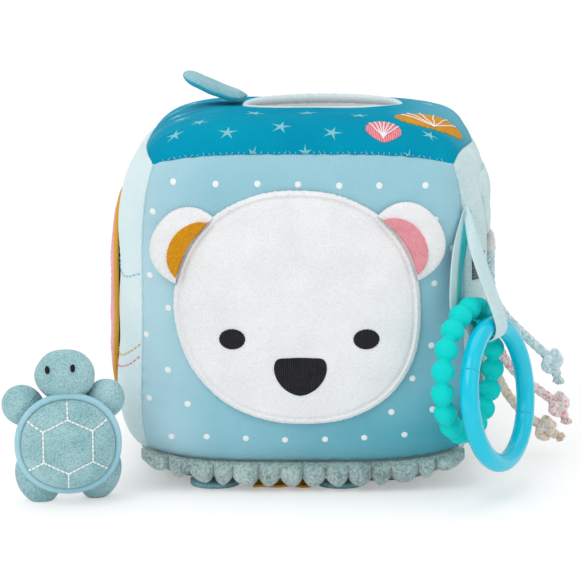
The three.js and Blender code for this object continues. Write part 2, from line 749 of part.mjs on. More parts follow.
function frillPoint(u, share, front) {
  const lobe = Math.abs(Math.sin(((u + 1) / 2) * frill.lobes * Math.PI)) ** frillShares.lobePower;
  const seam = onBlock("front", u, -1);
  const top = seam.z - seamGap;
  const fall = frill.drop - frill.valleyRise * (1 - lobe) - frill.cornerRise * Math.abs(u) ** 3;
  const swellShare = Math.sin(Math.PI * (frillShares.start + frillShares.run * share));
  const swell = frill.depth * lobe * swellShare ** frillShares.swellPower;
  return new THREE.Vector3(
    seam.x,
    seam.y - frill.gap - (front ? frill.cloth + swell : 0),
    Math.max(top - fall * share, seatGap),
  );
}

const frillSteps = frill.lobes * 4;
const frillColumns = Array.from(
  { length: frillSteps + 1 },
  (_, i) => seamEnd * ((2 * i) / frillSteps - 1),
);
const frillRows = [0, 0.35, 0.75, 1];
place(
  part,
  "base_frill",
  slab(
    frillColumns,
    frillRows,
    (u, share) => frillPoint(u, share, true),
    (u, share) => frillPoint(u, share, false),
  ),
  finish(seaGreen),
);

// The two padded tabs and the folded tag, which lie on the surface in front of the base

for (const [side, way] of [["left", -1], ["right", 1]]) {
  const { halfWidth, reach, rootY } = baseTab;
  const x = baseTag.x + way * (baseTag.width / 2 + tabClear[side] + halfWidth);
  const whole = roundOutline(x, rootY, halfWidth, reach, tabPower, 0, 18);
  const outline = whole.map(([a, b]) => [a, Math.min(b, rootY)]);
  const middle = [x, rootY - reach / 2];
  const tab = pad(
    outline,
    middle,
    thinPadShares,
    (a, b, share) => new THREE.Vector3(a, b, crownRise(baseTab.pad, baseTab.rim, share)),
    (a, b) => new THREE.Vector3(a, b, 0),
  );
  place(part, `base_tab_${side}`, tab, finish(pipingBlue));
}

const tagShares = [0, 0.3, 0.6, 0.85, 1];
const tagRise = heightAt("bottom", baseTag.x, baseTag.rootY) / 2;
function tagPoint(share, w, rise) {
  const z = tagRise * Math.max(0, 1 - share / baseTag.fallShare);
  const x = baseTag.x + (w * baseTag.width) / 2;
  return new THREE.Vector3(x, baseTag.rootY - baseTag.reach * share, z + rise);
}
place(
  part,
  "base_tag",
  slab(
    tagShares,
    [-1, 1],
    (share, w) => tagPoint(share, w, baseTag.cloth),
    (share, w) => tagPoint(share, w, 0),
  ),
  finish(ochre),
);

// The right side: a padded bell, the trim under it, a plain tag, and three ropes that end in knots

function rightPad({ y, z, halfWidth, halfHeight, power, taper, pad: height, rim }) {
  const widen = (b) => 1 + (taper * (b - z)) / halfHeight;
  const outline = roundOutline(y, z, halfWidth, halfHeight, power, 0, 24);
  return pad(
    outline.map(([a, b]) => [y + (a - y) * widen(b), b]),
    [y, z],
    padShares,
    (a, b, share) => rightAt(a, b, seatGap + crownRise(height, rim, share)),
    (a, b) => rightAt(a, b, seatGap),
  );
}

place(part, "rope_bell", rightPad(bell), finish(paleAqua));
const trimZ = bell.z - bell.halfHeight - seatGap - bellTrim.halfHeight;
place(part, "bell_trim", rightPad({ ...bellTrim, z: trimZ }), finish(white));

const sideTagPoint = (share, w, rise) =>
  rightAt(sideTag.frontY + sideTag.reach * share, sideTag.z + (w * sideTag.height) / 2, rise);
place(
  part,
  "side_tag",
  slab(
    [0, 0.25, 0.5, 0.75, 1],
    [-1, 0, 1],
    (share, w) => sideTagPoint(share, w, seatGap + sideTag.cloth),
    (share, w) => sideTagPoint(share, w, seatGap),
  ),
  finish(slate),
);

// A knot: two turns of rope drawn tight across each other, with its short tail.
function knot(centre, along, tailEnd) {
  const turnOfRope = new THREE.TorusGeometry(
    knotSize.radius * knotSize.turnShare,
    knotSize.radius * knotSize.ropeShare,
    5,
    8,
  );
  const facing = new THREE.Quaternion().setFromUnitVectors(new THREE.Vector3(0, 0, 1), along);
  const crossed = new THREE.Quaternion().setFromAxisAngle(new THREE.Vector3(1, 0, 0), knotSize.tilt);
  const second = centre.clone().addScaledVector(along, knotSize.radius * knotSize.turnShare);
  const one = solid(turnOfRope.clone().applyQuaternion(facing).translate(...centre));
  const across = turnOfRope.clone().applyQuaternion(crossed).applyQuaternion(facing);
  const two = solid(across.translate(...second));
  const core = solid(new THREE.SphereGeometry(ropeRadius, 8, 6).translate(...centre));
  const tail = solid(roundTube([centre, centre.clone().lerp(tailEnd, 0.5), tailEnd], ropeRadius, 3));
  return one.add(two).add(core).add(tail);
}

const ropeTints = { aqua: paleAqua, pink: pinkRope, sand: sandRope };
for (const [name, rope] of Object.entries(ropes)) {
  const route = rope.route.map((p) => new THREE.Vector3(...p));
  const centre = new THREE.Vector3(...rope.knot);
  const along = centre.clone().sub(route.at(-1)).normalize();
  const tied = knot(centre, along, new THREE.Vector3(...rope.tail));
  place(part, `rope_${name}`, roundTube(route, ropeRadius, 2 * route.length), finish(ropeTints[name]));
  place(part, `rope_knot_${name}`, surface(tied), finish(ropeTints[name]));
}

// The rings. Both hang in planes that run in the direction of ringTurn.

const up = new THREE.Vector3(0, 0, 1);
const ringAlong = new THREE.Vector3(1, 0, 0).applyAxisAngle(up, THREE.MathUtils.degToRad(ringTurn));
const ringOut = new THREE.Vector3(ringAlong.y, -ringAlong.x, 0);

// A ring of beads that run into each other: a tube whose radius rises and falls round the ring.
const beadSteps = 4;
const beadSides = 8;
const beadCentre = new THREE.Vector3(beads.x, beads.y, beads.z);
const beadPitch = (2 * Math.PI * beads.ring) / beads.count;
const beadRings = Array.from({ length: beads.count * beadSteps }, (_, i) => {
  const angle = (i / (beads.count * beadSteps)) * Math.PI * 2;
  const off = ((i % beadSteps) / beadSteps - 1 / 2) * beadPitch;
  const radius = Math.max(beads.neck, Math.sqrt(beads.radius ** 2 - off ** 2));
  const radial = ringAlong.clone().multiplyScalar(Math.cos(angle)).addScaledVector(up, Math.sin(angle));
  return Array.from({ length: beadSides }, (_, j) => {
    const turn = (j / beadSides) * Math.PI * 2;
    return beadCentre
      .clone()
      .addScaledVector(radial, beads.ring + radius * Math.cos(turn))
      .addScaledVector(ringOut, radius * Math.sin(turn));
  });
});
place(part, "bead_ring", skin(beadRings, true), finish(turquoise, 0.6));

// The smooth hoop is two halves that peg together, and its foot leans out from the beads.
const lean = THREE.MathUtils.degToRad(hoop.lean);
const hoopUp = up.clone().multiplyScalar(Math.cos(lean)).addScaledVector(ringOut, -Math.sin(lean));
const hoopOut = ringOut.clone().multiplyScalar(Math.cos(lean)).addScaledVector(up, Math.sin(lean));
const hoopCentre = new THREE.Vector3(hoop.x, hoop.y, hoop.z);

function hoopPoint(angle, radius, side) {
  return hoopCentre
    .clone()
    .addScaledVector(ringAlong, radius * Math.cos(angle))
    .addScaledVector(hoopUp, radius * Math.sin(angle))
    .addScaledVector(hoopOut, side);
}

function hoopArc(from, to, tube, steps, sides) {
  const rings = Array.from({ length: steps + 1 }, (_, i) => {
    const angle = from + ((to - from) * i) / steps;
    return Array.from({ length: sides }, (_, j) => {
      const turn = (j / sides) * Math.PI * 2;
      return hoopPoint(angle, hoop.ring + tube * Math.cos(turn), tube * Math.sin(turn));
    });
  });
  return solid(skin(rings));
}

const jointAngle = THREE.MathUtils.degToRad(hoopJoint);
const bothJoints = [jointAngle, jointAngle + Math.PI];
const halfPlay = peg.play / hoop.ring / 2;
const pegAngle = peg.length / hoop.ring;
const halfHoop = (start) => hoopArc(start + halfPlay, start + Math.PI - halfPlay, hoop.tube, 16, 8);
const pegs = bothJoints.map((at) => hoopArc(at - pegAngle, at + pegAngle, peg.radius, 4, 6));
const boreAngle = pegAngle + 2 * halfPlay;
const boreRadius = peg.radius + peg.play;
const bores = bothJoints.map((at) => hoopArc(at - boreAngle, at + boreAngle, boreRadius, 4, 6));
const pegged = pegs.reduce((half, pin) => half.add(pin), halfHoop(jointAngle));
const bored = bores.reduce((half, bore) => half.subtract(bore), halfHoop(jointAngle + Math.PI));
place(part, "hoop_pegged_half", surface(pegged), finish(hoopBlue, 0.18));
place(part, "hoop_socket_half", surface(bored), finish(hoopBlue, 0.18));

// The ribbon: one band that goes down behind the beads, under both rings and up again to its sewn end

const seamW = levelOf(ribbon.z) / halfCorner;
const seamPoint = onBlock("front", 1, seamW);
const diagonal = new THREE.Vector3(1, -1, 0).normalize();
const anchor = seamPoint.clone().addScaledVector(diagonal, ribbon.standOff);
const dip = (ring) => ring - Math.sqrt(ring ** 2 - (ribbon.width / 2) ** 2);
const beadHang = beads.radius + ribbon.cloth / 2 + ribbonPlay + dip(beads.ring);
const hoopHang = hoop.tube + ribbon.cloth / 2 + ribbonPlay + dip(hoop.ring);
const beadTop = beadCentre.clone().addScaledVector(up, beads.ring);
const hoopTop = hoopPoint(Math.PI / 2, hoop.ring, 0);

// A point moved outwards, up and forwards in the rings' own directions.
function offset(point, out, rise, forward = 0) {
  const raised = point.clone().addScaledVector(ringOut, out).addScaledVector(up, rise);
  return raised.addScaledVector(ringAlong, -forward);
}

const beadSide = beads.radius + ribbon.cloth / 2 + ribbonPlay;
const hoopSide = hoop.tube + ribbon.cloth / 2 + ribbonPlay;
const between = beadTop.clone().lerp(hoopTop, ribbonShares.middle);
const innerMiddle = anchor.clone().lerp(beadTop, ribbonShares.middle);
const outerMiddle = anchor.clone().lerp(hoopTop, ribbonShares.middle);
const ribbonRoute = [
  offset(anchor, -ribbon.cloth, -2 * ribbon.cloth),
  offset(innerMiddle, -ribbonShares.slackIn * beadHang, 0, ribbon.clear),
  offset(beadTop, -beadSide, 0),
  offset(beadTop, -Math.SQRT1_2 * beadSide, -Math.SQRT1_2 * beadHang),
  offset(beadTop, 0, -beadHang),
  offset(between, 0, -beadHang - ribbon.sag),
  offset(hoopTop, 0, -hoopHang),
  offset(hoopTop, Math.SQRT1_2 * hoopSide, -Math.SQRT1_2 * hoopHang),
  offset(hoopTop, hoopSide, 0),
  offset(outerMiddle, ribbonShares.slackOut * hoopHang, 0, ribbon.clear / 2),
  offset(anchor, ribbon.cloth, -2 * ribbon.cloth),
  offset(anchor, 0, 0),
];
const ribbonCurve = new THREE.CatmullRomCurve3(ribbonRoute, true, "centripetal");
const ribbonSteps = 56;
const ribbonRings = Array.from({ length: ribbonSteps }, (_, i) => {
  const at = ribbonCurve.getPointAt(i / ribbonSteps);
  const along = ribbonCurve.getTangentAt(i / ribbonSteps);
  const across = ringAlong.clone().addScaledVector(along, -ringAlong.dot(along)).normalize();
  const thick = new THREE.Vector3().crossVectors(along, across);
  const fullWidthFall = (anchor.z - beadTop.z) * ribbonShares.widening;
  const gathered = THREE.MathUtils.smoothstep(anchor.z - at.z, 0, fullWidthFall);
  const width = THREE.MathUtils.lerp(ribbon.sewnWidth, ribbon.width, gathered);
  return [[-1, -1], [1, -1], [1, 1], [-1, 1]].map(([wide, deep]) =>
    at
      .clone()
      .addScaledVector(across, (wide * width) / 2)
      .addScaledVector(thick, (deep * ribbon.cloth) / 2),
  );
});
place(part, "ribbon_loop", skin(ribbonRings, true), finish(paleAqua, 0.6));

// The turtle

const turtleGroup = new THREE.Group();
turtleGroup.position.set(turtle.x, turtle.y, 0);
turtleGroup.rotation.z = THREE.MathUtils.degToRad(turtle.turn);
part.add(turtleGroup);

// A dome over an oval, from its flat side at y to its crown at y + rise.
function dome(halfWidth, halfHeight, y, rise, rim) {
  return pad(
    roundOutline(0, carapace.z, halfWidth, halfHeight, shellPower, 0, 20),
    [0, carapace.z],
    padShares,
    (x, z, share) => new THREE.Vector3(x, y + Math.sign(rise) * crownRise(Math.abs(rise), rim, share), z),
    (x, z) => new THREE.Vector3(x, y, z),
  );
}

function bellyDome(grow) {
  const { halfWidth, halfHeight, depth, rim: edge } = belly;
  return dome(halfWidth + grow, halfHeight + grow, belly.front - grow, depth + 2 * grow, edge + grow);
}

const pipingHalfWidth = carapace.halfWidth + piping.gap + piping.tube;
const pipingHalfHeight = carapace.halfHeight + piping.gap + piping.tube;
const pipingY = belly.front - piping.gap - piping.tube;

function pipingTube(grow) {
  return outlineTube(
    roundOutline(0, carapace.z, pipingHalfWidth, pipingHalfHeight, shellPower, 0, 24),
    [0, carapace.z],
    piping.tube + grow,
    (x, z, rise) => new THREE.Vector3(x, pipingY - rise, z),
  );
}

const { halfWidth: shellHalfWidth, halfHeight: shellHalfHeight, front, dome: shellRise, rim } = carapace;
const carapaceDome = dome(shellHalfWidth, shellHalfHeight, front, -shellRise, rim);
place(turtleGroup, "turtle_shell", carapaceDome, finish(turtleGreen));
place(turtleGroup, "turtle_belly", bellyDome(0), finish(turtleGreen));
place(turtleGroup, "turtle_piping", pipingTube(0), finish(pipingBlue));

function headBall(grow) {
  const { x, y, z, halfWidth, halfDepth: deep, halfHeight } = turtleHead;
  const sizes = { halfX: halfWidth + grow, halfY: deep + grow, halfZ: halfHeight + grow };
  return solid(ellipsoid({ x, y, z, ...sizes }, headSides, headRows));
}

const bodyRoom = solid(bellyDome(seatGap)).add(solid(pipingTube(seatGap)));
const carapaceRoom = solid(
  dome(shellHalfWidth, shellHalfHeight, front + seatGap, -shellRise, rim + seatGap),
);
const floorRoom = levelBox(-halfDepth, 0);
const headCut = headBall(0).subtract(bodyRoom).subtract(carapaceRoom);
place(turtleGroup, "turtle_head", surface(headCut), finish(turtleGreen));

for (const [kind, pair] of [["arm", arms], ["leg", legs]]) {
  for (const [side, { x, y, z, halfLong, halfShort, turn }] of Object.entries(pair)) {
    const sizes = { halfX: halfLong, halfY: limbHalfDepth, halfZ: halfShort };
    const stuffed = ellipsoid({ x, y, z, ...sizes, turn });
    const cut = solid(stuffed).subtract(bodyRoom).subtract(floorRoom).subtract(headBall(seatGap));
    place(turtleGroup, `turtle_${kind}_${side}`, surface(cut), finish(turtleGreen));
  }
}

for (const [side, { x, z }] of Object.entries(turtleEyes)) {
  const across = (x - turtleHead.x) / turtleHead.halfWidth;
  const above = (z - turtleHead.z) / turtleHead.halfHeight;
  const skinY = turtleHead.y - turtleHead.halfDepth * Math.sqrt(1 - across ** 2 - above ** 2);
  const bead = ellipsoid(
    {
      x,
      y: skinY - turtleEye.halfDepth - seatGap / 2,
      z,
      halfX: turtleEye.halfWidth,
      halfY: turtleEye.halfDepth,
      halfZ: turtleEye.halfHeight,
    },
    eyeSides,
    eyeRows,
  );
  place(turtleGroup, `turtle_eye_${side}`, bead, finish(black, 0.4));
}

export default part;
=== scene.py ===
import bmesh
import bpy
import numpy as np
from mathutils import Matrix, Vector


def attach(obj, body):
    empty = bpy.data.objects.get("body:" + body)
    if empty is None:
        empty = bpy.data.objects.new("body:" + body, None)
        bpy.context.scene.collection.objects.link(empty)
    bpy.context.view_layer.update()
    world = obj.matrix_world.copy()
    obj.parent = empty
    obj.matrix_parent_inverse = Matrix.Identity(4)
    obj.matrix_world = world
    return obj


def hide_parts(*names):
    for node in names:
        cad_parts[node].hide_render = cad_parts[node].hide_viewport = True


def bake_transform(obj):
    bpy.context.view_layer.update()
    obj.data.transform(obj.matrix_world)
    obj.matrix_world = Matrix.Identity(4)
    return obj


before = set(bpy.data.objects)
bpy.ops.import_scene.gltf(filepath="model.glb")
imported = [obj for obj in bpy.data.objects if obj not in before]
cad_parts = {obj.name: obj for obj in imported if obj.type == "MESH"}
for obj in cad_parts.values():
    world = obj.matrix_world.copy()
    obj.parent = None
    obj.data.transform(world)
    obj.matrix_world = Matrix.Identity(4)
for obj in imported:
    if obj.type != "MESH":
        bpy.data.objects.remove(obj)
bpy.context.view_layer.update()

# The camera stands where the photograph was taken: straight in front, 11 degrees above the block's middle
# and 1.1 m away, with a long lens. The shift puts the block where it lies in the picture.
photo_width, focal_pixels = 580, 2185.2
camera_data = bpy.data.cameras.new("photo_camera")
camera_data.sensor_width = 36
camera_data.lens = camera_data.sensor_width * focal_pixels / photo_width
camera_data.shift_x, camera_data.shift_y = -0.02241, 0.00198
camera = bpy.data.objects.new("photo_camera", camera_data)
camera.location = (0, -1.0798, 0.2899)
camera.rotation_euler = (np.radians(79), 0, 0)
bpy.context.scene.collection.objects.link(camera)
bpy.context.scene.camera = camera

# The three ropes are braided cotton cords with a coloured yarn among their strands, sewn under the trim of
# the right side. Each ends in a knot with a frayed tuft below it.
rope_radius, rope_sides = 0.0024, 32
strand_pairs, strand_pitch, strand_core, strand_relief = 4, 0.014, 0.93, 0.08
knot_size, knot_radius, knot_steps = 0.00145, 0.0026, 90
knot_core, knot_relief, knot_twist = 0.95, 0.07, 0.45
tail_radius, tail_share, tail_spread = 0.0024, 0.62, 0.0024
fibre_count, fibre_radius, fibre_clear = 44, 0.00042, 0.0008
fibre_from, fibre_shortest, fibre_longest = 0.5, 0.36, 0.5
fibre_inmost, fibre_bend = 0.3, 1.6
ropes = {
    "aqua": {
        "route": [
            (0.0926, -0.016, 0.1048), (0.0926, -0.016, 0.095), (0.0932, -0.017, 0.0855),
            (0.0956, -0.0185, 0.0785), (0.1002, -0.02, 0.0716), (0.1064, -0.0214, 0.0652),
            (0.1136, -0.0227, 0.0586), (0.1215, -0.0237, 0.0514),
        ],
        "knot": (0.1236, -0.024, 0.0494), "end": (0.1274, -0.024, 0.0378),
        "ground": (222, 240, 243), "yarn": (176, 212, 220),
    },
    "pink": {
        "route": [
            (0.0926, -0.003, 0.1048), (0.0926, -0.003, 0.093), (0.0929, -0.0045, 0.081),
            (0.0934, -0.007, 0.071), (0.0946, -0.0094, 0.0626), (0.0978, -0.0116, 0.0546),
            (0.1016, -0.013, 0.0472), (0.1076, -0.0142, 0.0404), (0.1154, -0.0152, 0.0344),
            (0.1257, -0.0161, 0.0271),
        ],
        "knot": (0.1282, -0.0162, 0.0256), "end": (0.1328, -0.0162, 0.0154),
        "ground": (252, 238, 236), "yarn": (240, 150, 164),
    },
    "sand": {
        "route": [
            (0.0926, 0.009, 0.1048), (0.0926, 0.009, 0.093), (0.0929, 0.0086, 0.081),
            (0.0932, 0.007, 0.071), (0.0936, 0.0044, 0.061), (0.0944, 0.001, 0.051),
            (0.097, -0.004, 0.0414), (0.1006, -0.0086, 0.033), (0.1056, -0.012, 0.026),
            (0.1116, -0.0144, 0.0198), (0.1194, -0.0157, 0.0146),
        ],
        "knot": (0.1219, -0.016, 0.0132), "end": (0.1304, -0.0166, 0.0074),
        "ground": (246, 234, 226), "yarn": (232, 184, 116),
    },
}


def tint(colour, strength=1.0):
    """The linear colour of a screen colour that is given from 0 to 255, times a strength."""
    shares = np.array(colour) / 255
    linear = np.where(shares <= 0.04045, shares / 12.92, ((shares + 0.055) / 1.055) ** 2.4)
    return (*(strength * linear).tolist(), 1.0)


class Finish:
    """A material being built. Its methods add shader nodes and give back an output, or the finish itself
    where they join a colour to the shader."""

    def __init__(self, name, roughness, sheen=0.0, specular=0.25):
        self.material = bpy.data.materials.new(name)
        self.material.use_nodes = True
        self.tree = self.material.node_tree
        self.shader = self.tree.nodes["Principled BSDF"]
        for setting, value in (("Roughness", roughness), ("Sheen Weight", sheen), ("Sheen Roughness", 0.6),
                               ("Specular IOR Level", specular)):
            self.shader.inputs[setting].default_value = value
        self.place = self.node("TexCoord", {}, "Object")

    def node(self, kind, inputs, output=0, **settings):
        """One node with its settings, each input fed with a plain value or another node's output."""
        node = self.tree.nodes.new("ShaderNode" + kind)
        for name, value in settings.items():
            setattr(node, name, value)
        for name, value in inputs.items():
            if isinstance(value, bpy.types.NodeSocket):
                self.tree.links.new(value, node.inputs[name])
            else:
                node.inputs[name].default_value = value
        return node.outputs[output]

    def axis(self, letter, of="Object"):
        """One axis of the object's own coordinates or of the UV map."""
        return self.node("SeparateXYZ", {"Vector": self.node("TexCoord", {}, of)}, letter)

    def noise(self, scale, detail, place=None, **more):
        """Soft noise, from 0 to 1."""
        return self.node("TexNoise", {"Vector": place or self.place, "Scale": scale, "Detail": detail,
                                      **more}, "Fac")

    def math(self, kind, first, second=0.0, **settings):
        """Two values joined by a sum, a product or the like."""
        return self.node("Math", {0: first, 1: second}, operation=kind, **settings)

    def ramp(self, value, low, high, start=0.0, end=1.0):
        """A value that goes from start to end in a straight line while another goes from low to high."""
        return self.node("MapRange", {"Value": value, "From Min": low, "From Max": high, "To Min": start,
                                      "To Max": end})

    def mix(self, share, first, second):
        """Two colours mixed by a share."""
        return self.node("MixRGB", {"Fac": share, "Color1": first, "Color2": second})

    def surface(self, colour, height, depth):
        """Joins a colour and a height, which is depth metres high, to the shader."""
        bump = self.node("Bump", {"Height": height, "Distance": depth, "Strength": 1.0})
        self.tree.links.new(bump, self.shader.inputs["Normal"])
        self.colour = colour
        self.tree.links.new(colour, self.shader.inputs["Base Color"])
        return self

    def cover(self, share, colour):
        """Mixes another colour over the one that the shader has."""
        self.colour = self.mix(share, self.colour, colour)
        self.tree.links.new(self.colour, self.shader.inputs["Base Color"])
        return self


def braid_finish(name, ground, yarn):
    """Cotton strands that cross at a slant: the UV map runs round the rope and along it."""
    finish = Finish(name, 0.95, 0.3)
    strand = finish.node("TexWave", {"Vector": finish.node("TexCoord", {}, "UV"), "Scale": 260.0,
                                     "Distortion": 1.5, "Detail": 2.0}, "Fac",
                         wave_type="BANDS", bands_direction="DIAGONAL")
    flecks = finish.node("TexVoronoi", {"Vector": finish.place, "Scale": 820.0}, "Color")
    shade = finish.mix(strand, tint(ground), tint(ground, 0.9))
    colour = finish.mix(finish.ramp(flecks, 0.62, 0.7, 0.0, 0.8), shade, tint(yarn))
    return finish.surface(colour, finish.math("ADD", strand, finish.noise(2600.0, 3.0)), 0.00025)


def run_of(path):
    """The length along a path at each of its points."""
    return np.concatenate([[0], np.cumsum(np.linalg.norm(np.diff(path, axis=0), axis=1))])


def path_length(path):
    """The length of a whole path."""
    return float(run_of(path)[-1])


def at_lengths(path, lengths):
    """The points of a path at the given lengths along it."""
    run = run_of(path)
    return np.stack([np.interp(lengths, run, path[:, k]) for k in range(3)], axis=1)


def smooth_path(points, count):
    """Points evenly spaced along one smooth curve (Catmull-Rom) through the given points."""
    given = np.array(points, dtype=float)
    p = np.vstack([2 * given[:1] - given[1:2], given, 2 * given[-1:] - given[-2:-1]])
    t = np.linspace(0, 1, 24, endpoint=False)[:, None, None]
    a, b, c, d = p[:-3], p[1:-2], p[2:-1], p[3:]
    curve = 0.5 * (2 * b + (c - a) * t + (2 * a - 5 * b + 4 * c - d) * t**2
                   + (3 * b - a - 3 * c + d) * t**3)
    dense = np.vstack([curve.transpose(1, 0, 2).reshape(-1, 3), given[-1:]])
    return at_lengths(dense, np.linspace(0, path_length(dense), count))


def unit(vectors):
    """The same directions at length 1."""
    return vectors / np.maximum(np.linalg.norm(vectors, axis=-1, keepdims=True), 1e-12)


def full_turn(count):
    """Angles evenly spaced round a circle."""
    return np.linspace(0, 2 * np.pi, count, endpoint=False)


def xyz(x, y, z):
    """Points from their coordinates, which are numbers or arrays that match."""
    return np.stack(np.broadcast_arrays(x, y, z), axis=-1)


def capped(points, ends=(0, -1)):
    """Rows of points, closed at the given ends by a row that is drawn in to its middle."""
    caps = {k: np.repeat(points[k].mean(axis=0)[None, None], points.shape[1], axis=1) for k in ends}
    return np.concatenate([caps.get(0, points[:0]), points, caps.get(-1, points[:0])])


def tube(path, radius, sides, sideways=(0.0, 1.0, 0.0), closed=False):
    """Rings round a path. radius is one number or one for each ring and side, and an open tube's ends
    are drawn in to a point in their middle. sideways is a direction that the path never takes."""
    if closed:
        along = unit(np.roll(path, -1, axis=0) - np.roll(path, 1, axis=0))
    else:
        along = unit(np.gradient(path, axis=0))
    out = unit(np.cross(along, np.array(sideways)))
    up = np.cross(out, along)
    turn = full_turn(sides)[None, :, None]
    reach = np.broadcast_to(np.asarray(radius, dtype=float), (len(path), sides))[..., None]
    rings = path[:, None] + reach * (np.cos(turn) * out[:, None] + np.sin(turn) * up[:, None])
    if closed:
        return rings
    ends = [np.repeat(path[k][None, None], sides, axis=1) for k in (0, -1)]
    return np.concatenate([ends[0], rings, ends[1]])


def sewn_piece(name, grids, finish, body, replaces=(), slot=None, middle=None):
    """One object made of grids of points, which rides on a body where one is given, and stands for CAD
    nodes. A grid is (points, (length along the rows, length along the columns)), and
    its columns run round unless a third value says (rows run round, columns run round). Where middle is
    given, faces are turned away from it, and otherwise a closed surface turns outwards."""
    vertices, faces, maps = [], [], []
    start = 0
    for points, lengths, *wraps in grids:
        wrap = wraps[0] if wraps else (False, True)
        rows, columns = points.shape[:2]
        i, j = (k.ravel() for k in np.meshgrid(np.arange(rows - (not wrap[0])),
                                               np.arange(columns - (not wrap[1])), indexing="ij"))
        next_i, next_j = (i + 1) % rows, (j + 1) % columns
        faces.append(start + np.stack([i * columns + j, next_i * columns + j,
                                       next_i * columns + next_j, i * columns + next_j], axis=1))
        step = lengths[0] / max(rows - 1 + wrap[0], 1), lengths[1] / max(columns - 1 + wrap[1], 1)
        corners = [(i, j), (i + 1, j), (i + 1, j + 1), (i, j + 1)]
        maps.append(np.stack([np.stack([b * step[1], a * step[0]], axis=1) for a, b in corners], axis=1))
        vertices.append(points.reshape(-1, 3))
        start += rows * columns
    mesh = bpy.data.meshes.new(name)
    mesh.from_pydata(np.concatenate(vertices).tolist(), [], np.concatenate(faces).tolist())
    mesh.uv_layers.new(name="UVMap").data.foreach_set("uv", np.concatenate(maps).ravel())
    shape = bmesh.new()
    shape.from_mesh(mesh)
    bmesh.ops.remove_doubles(shape, verts=shape.verts, dist=2e-6)
    bmesh.ops.recalc_face_normals(shape, faces=shape.faces)
    if middle is not None:
        facing = sum((f.calc_center_median() - Vector(middle)).dot(f.normal) * f.calc_area()
                     for f in shape.faces)
        if facing < 0:
            bmesh.ops.reverse_faces(shape, faces=shape.faces)
    shape.to_mesh(mesh)
    shape.free()
    mesh.polygons.foreach_set("use_smooth", np.ones(len(mesh.polygons), dtype=bool))
    mesh.materials.append(finish.material)
    piece = bpy.data.objects.new(name, mesh)
    bpy.context.scene.collection.objects.link(piece)
    if body:
        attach(piece, body)
    if replaces:
        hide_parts(*replaces)
    return piece


for rope_name, look in ropes.items():
    path = smooth_path(look["route"], 240)
    length = path_length(path)
    run = np.linspace(0, length, len(path))[:, None]
    turn = strand_pairs * full_turn(rope_sides)
    lay = 2 * strand_pairs * np.pi / strand_pitch * run
    braid = rope_radius * (strand_core + strand_relief * np.maximum(np.cos(turn + lay), np.cos(turn - lay)))
    finish = braid_finish(f"{rope_name}_cotton", look["ground"], look["yarn"])
    rope = sewn_piece(f"{rope_name}_rope", [(tube(path, braid, rope_sides), (length, 0.015))],
                      finish, "block", [f"rope_{rope_name}"], f"{rope_name}_rope")

    knot_at, tail_end = np.array(look["knot"]), np.array(look["end"])
    down, heading = unit(tail_end - knot_at), unit(knot_at - path[-1])
    across = unit(np.cross(heading, np.array([0.0, 1.0, 0.2])))
    third = np.cross(heading, across)
    angle = full_turn(knot_steps)[:, None]
    trefoil = knot_size * ((np.sin(angle) + 2 * np.sin(2 * angle)) * across
                           + (np.cos(angle) - 2 * np.cos(2 * angle)) * third
                           - 1.5 * np.sin(3 * angle) * heading)
    knot_turn = 3 * full_turn(rope_sides) + knot_twist * np.arange(knot_steps)[:, None]
    knot_reach = knot_radius * (knot_core + knot_relief * np.cos(knot_turn))
    knot_tube = tube(knot_at + trefoil, knot_reach, rope_sides, (0.31, 0.83, 0.46), closed=True)
    tail_length = float(np.linalg.norm(tail_end - knot_at))
    tail_path = knot_at + (tail_end - knot_at) * np.linspace(0, tail_share, 26)[:, None]
    grids = [(knot_tube, (0.045, 0.012), (True, True)),
             (tube(tail_path, tail_radius, 20), (tail_length, 0.014))]
    scatter = np.random.default_rng(len(rope_name))
    for _ in range(fibre_count):
        aside = scatter.uniform(-1, 1, 3)
        aside = (aside - down * aside.dot(down)) * scatter.uniform(fibre_inmost, 1.0)
        root = knot_at + down * tail_length * fibre_from + aside * tail_spread / 2
        reach = tail_length * scatter.uniform(fibre_shortest, fibre_longest)
        share = np.linspace(0, 1, 6)[:, None]
        fibre = root + down * reach * share + aside * tail_spread * share**fibre_bend
        fibre[:, 2] = np.maximum(fibre[:, 2], fibre_clear)
        grids.append((tube(fibre, fibre_radius, 5), (reach, 0.002)))
    knot = sewn_piece(f"{rope_name}_knot", grids, finish, "block", [f"rope_knot_{rope_name}"],
                      f"{rope_name}_rope")
    tuple(path[0])

# The floor and the room: a white surface that keeps a soft shadow, and plain even light from above and in
# front. The camera sees the room as white. The floor is half lit and half plain white, so that it stays
# white and its shadows stay soft, more so away from the block.
floor_half, floor_z, floor_glow = 12.0, -0.0002, 1.06
shadow_from, shadow_to, near_glow, far_glow = 0.08, 0.13, 0.32, 0.6
room_light, room_seen = 0.57, 1.1
lamps_aim = Vector((0, 0, 0.08))
white = (1, 1, 1, 1)
floor_finish = Finish("white_floor", 1.0)
floor_finish.tree.nodes.remove(floor_finish.shader)
lit = floor_finish.node("BsdfDiffuse", {"Color": white})
plain = floor_finish.node("Emission", {"Color": white, "Strength": floor_glow})
from_middle = [floor_finish.math("ABSOLUTE", floor_finish.axis(letter)) for letter in "XY"]
open_floor = floor_finish.ramp(floor_finish.math("MAXIMUM", *from_middle), shadow_from, shadow_to,
                               near_glow, far_glow)
seen = floor_finish.math("MULTIPLY", floor_finish.node("LightPath", {}, "Is Camera Ray"), open_floor)
both = floor_finish.node("MixShader", {0: seen, 1: lit, 2: plain})
floor_finish.tree.links.new(both, floor_finish.tree.nodes["Material Output"].inputs["Surface"])
floor_mesh = bpy.data.meshes.new("floor")
floor_mesh.from_pydata([(x * floor_half, y * floor_half, floor_z)
                        for x, y in ((-1, -1), (1, -1), (1, 1), (-1, 1))], [], [(0, 1, 2, 3)])
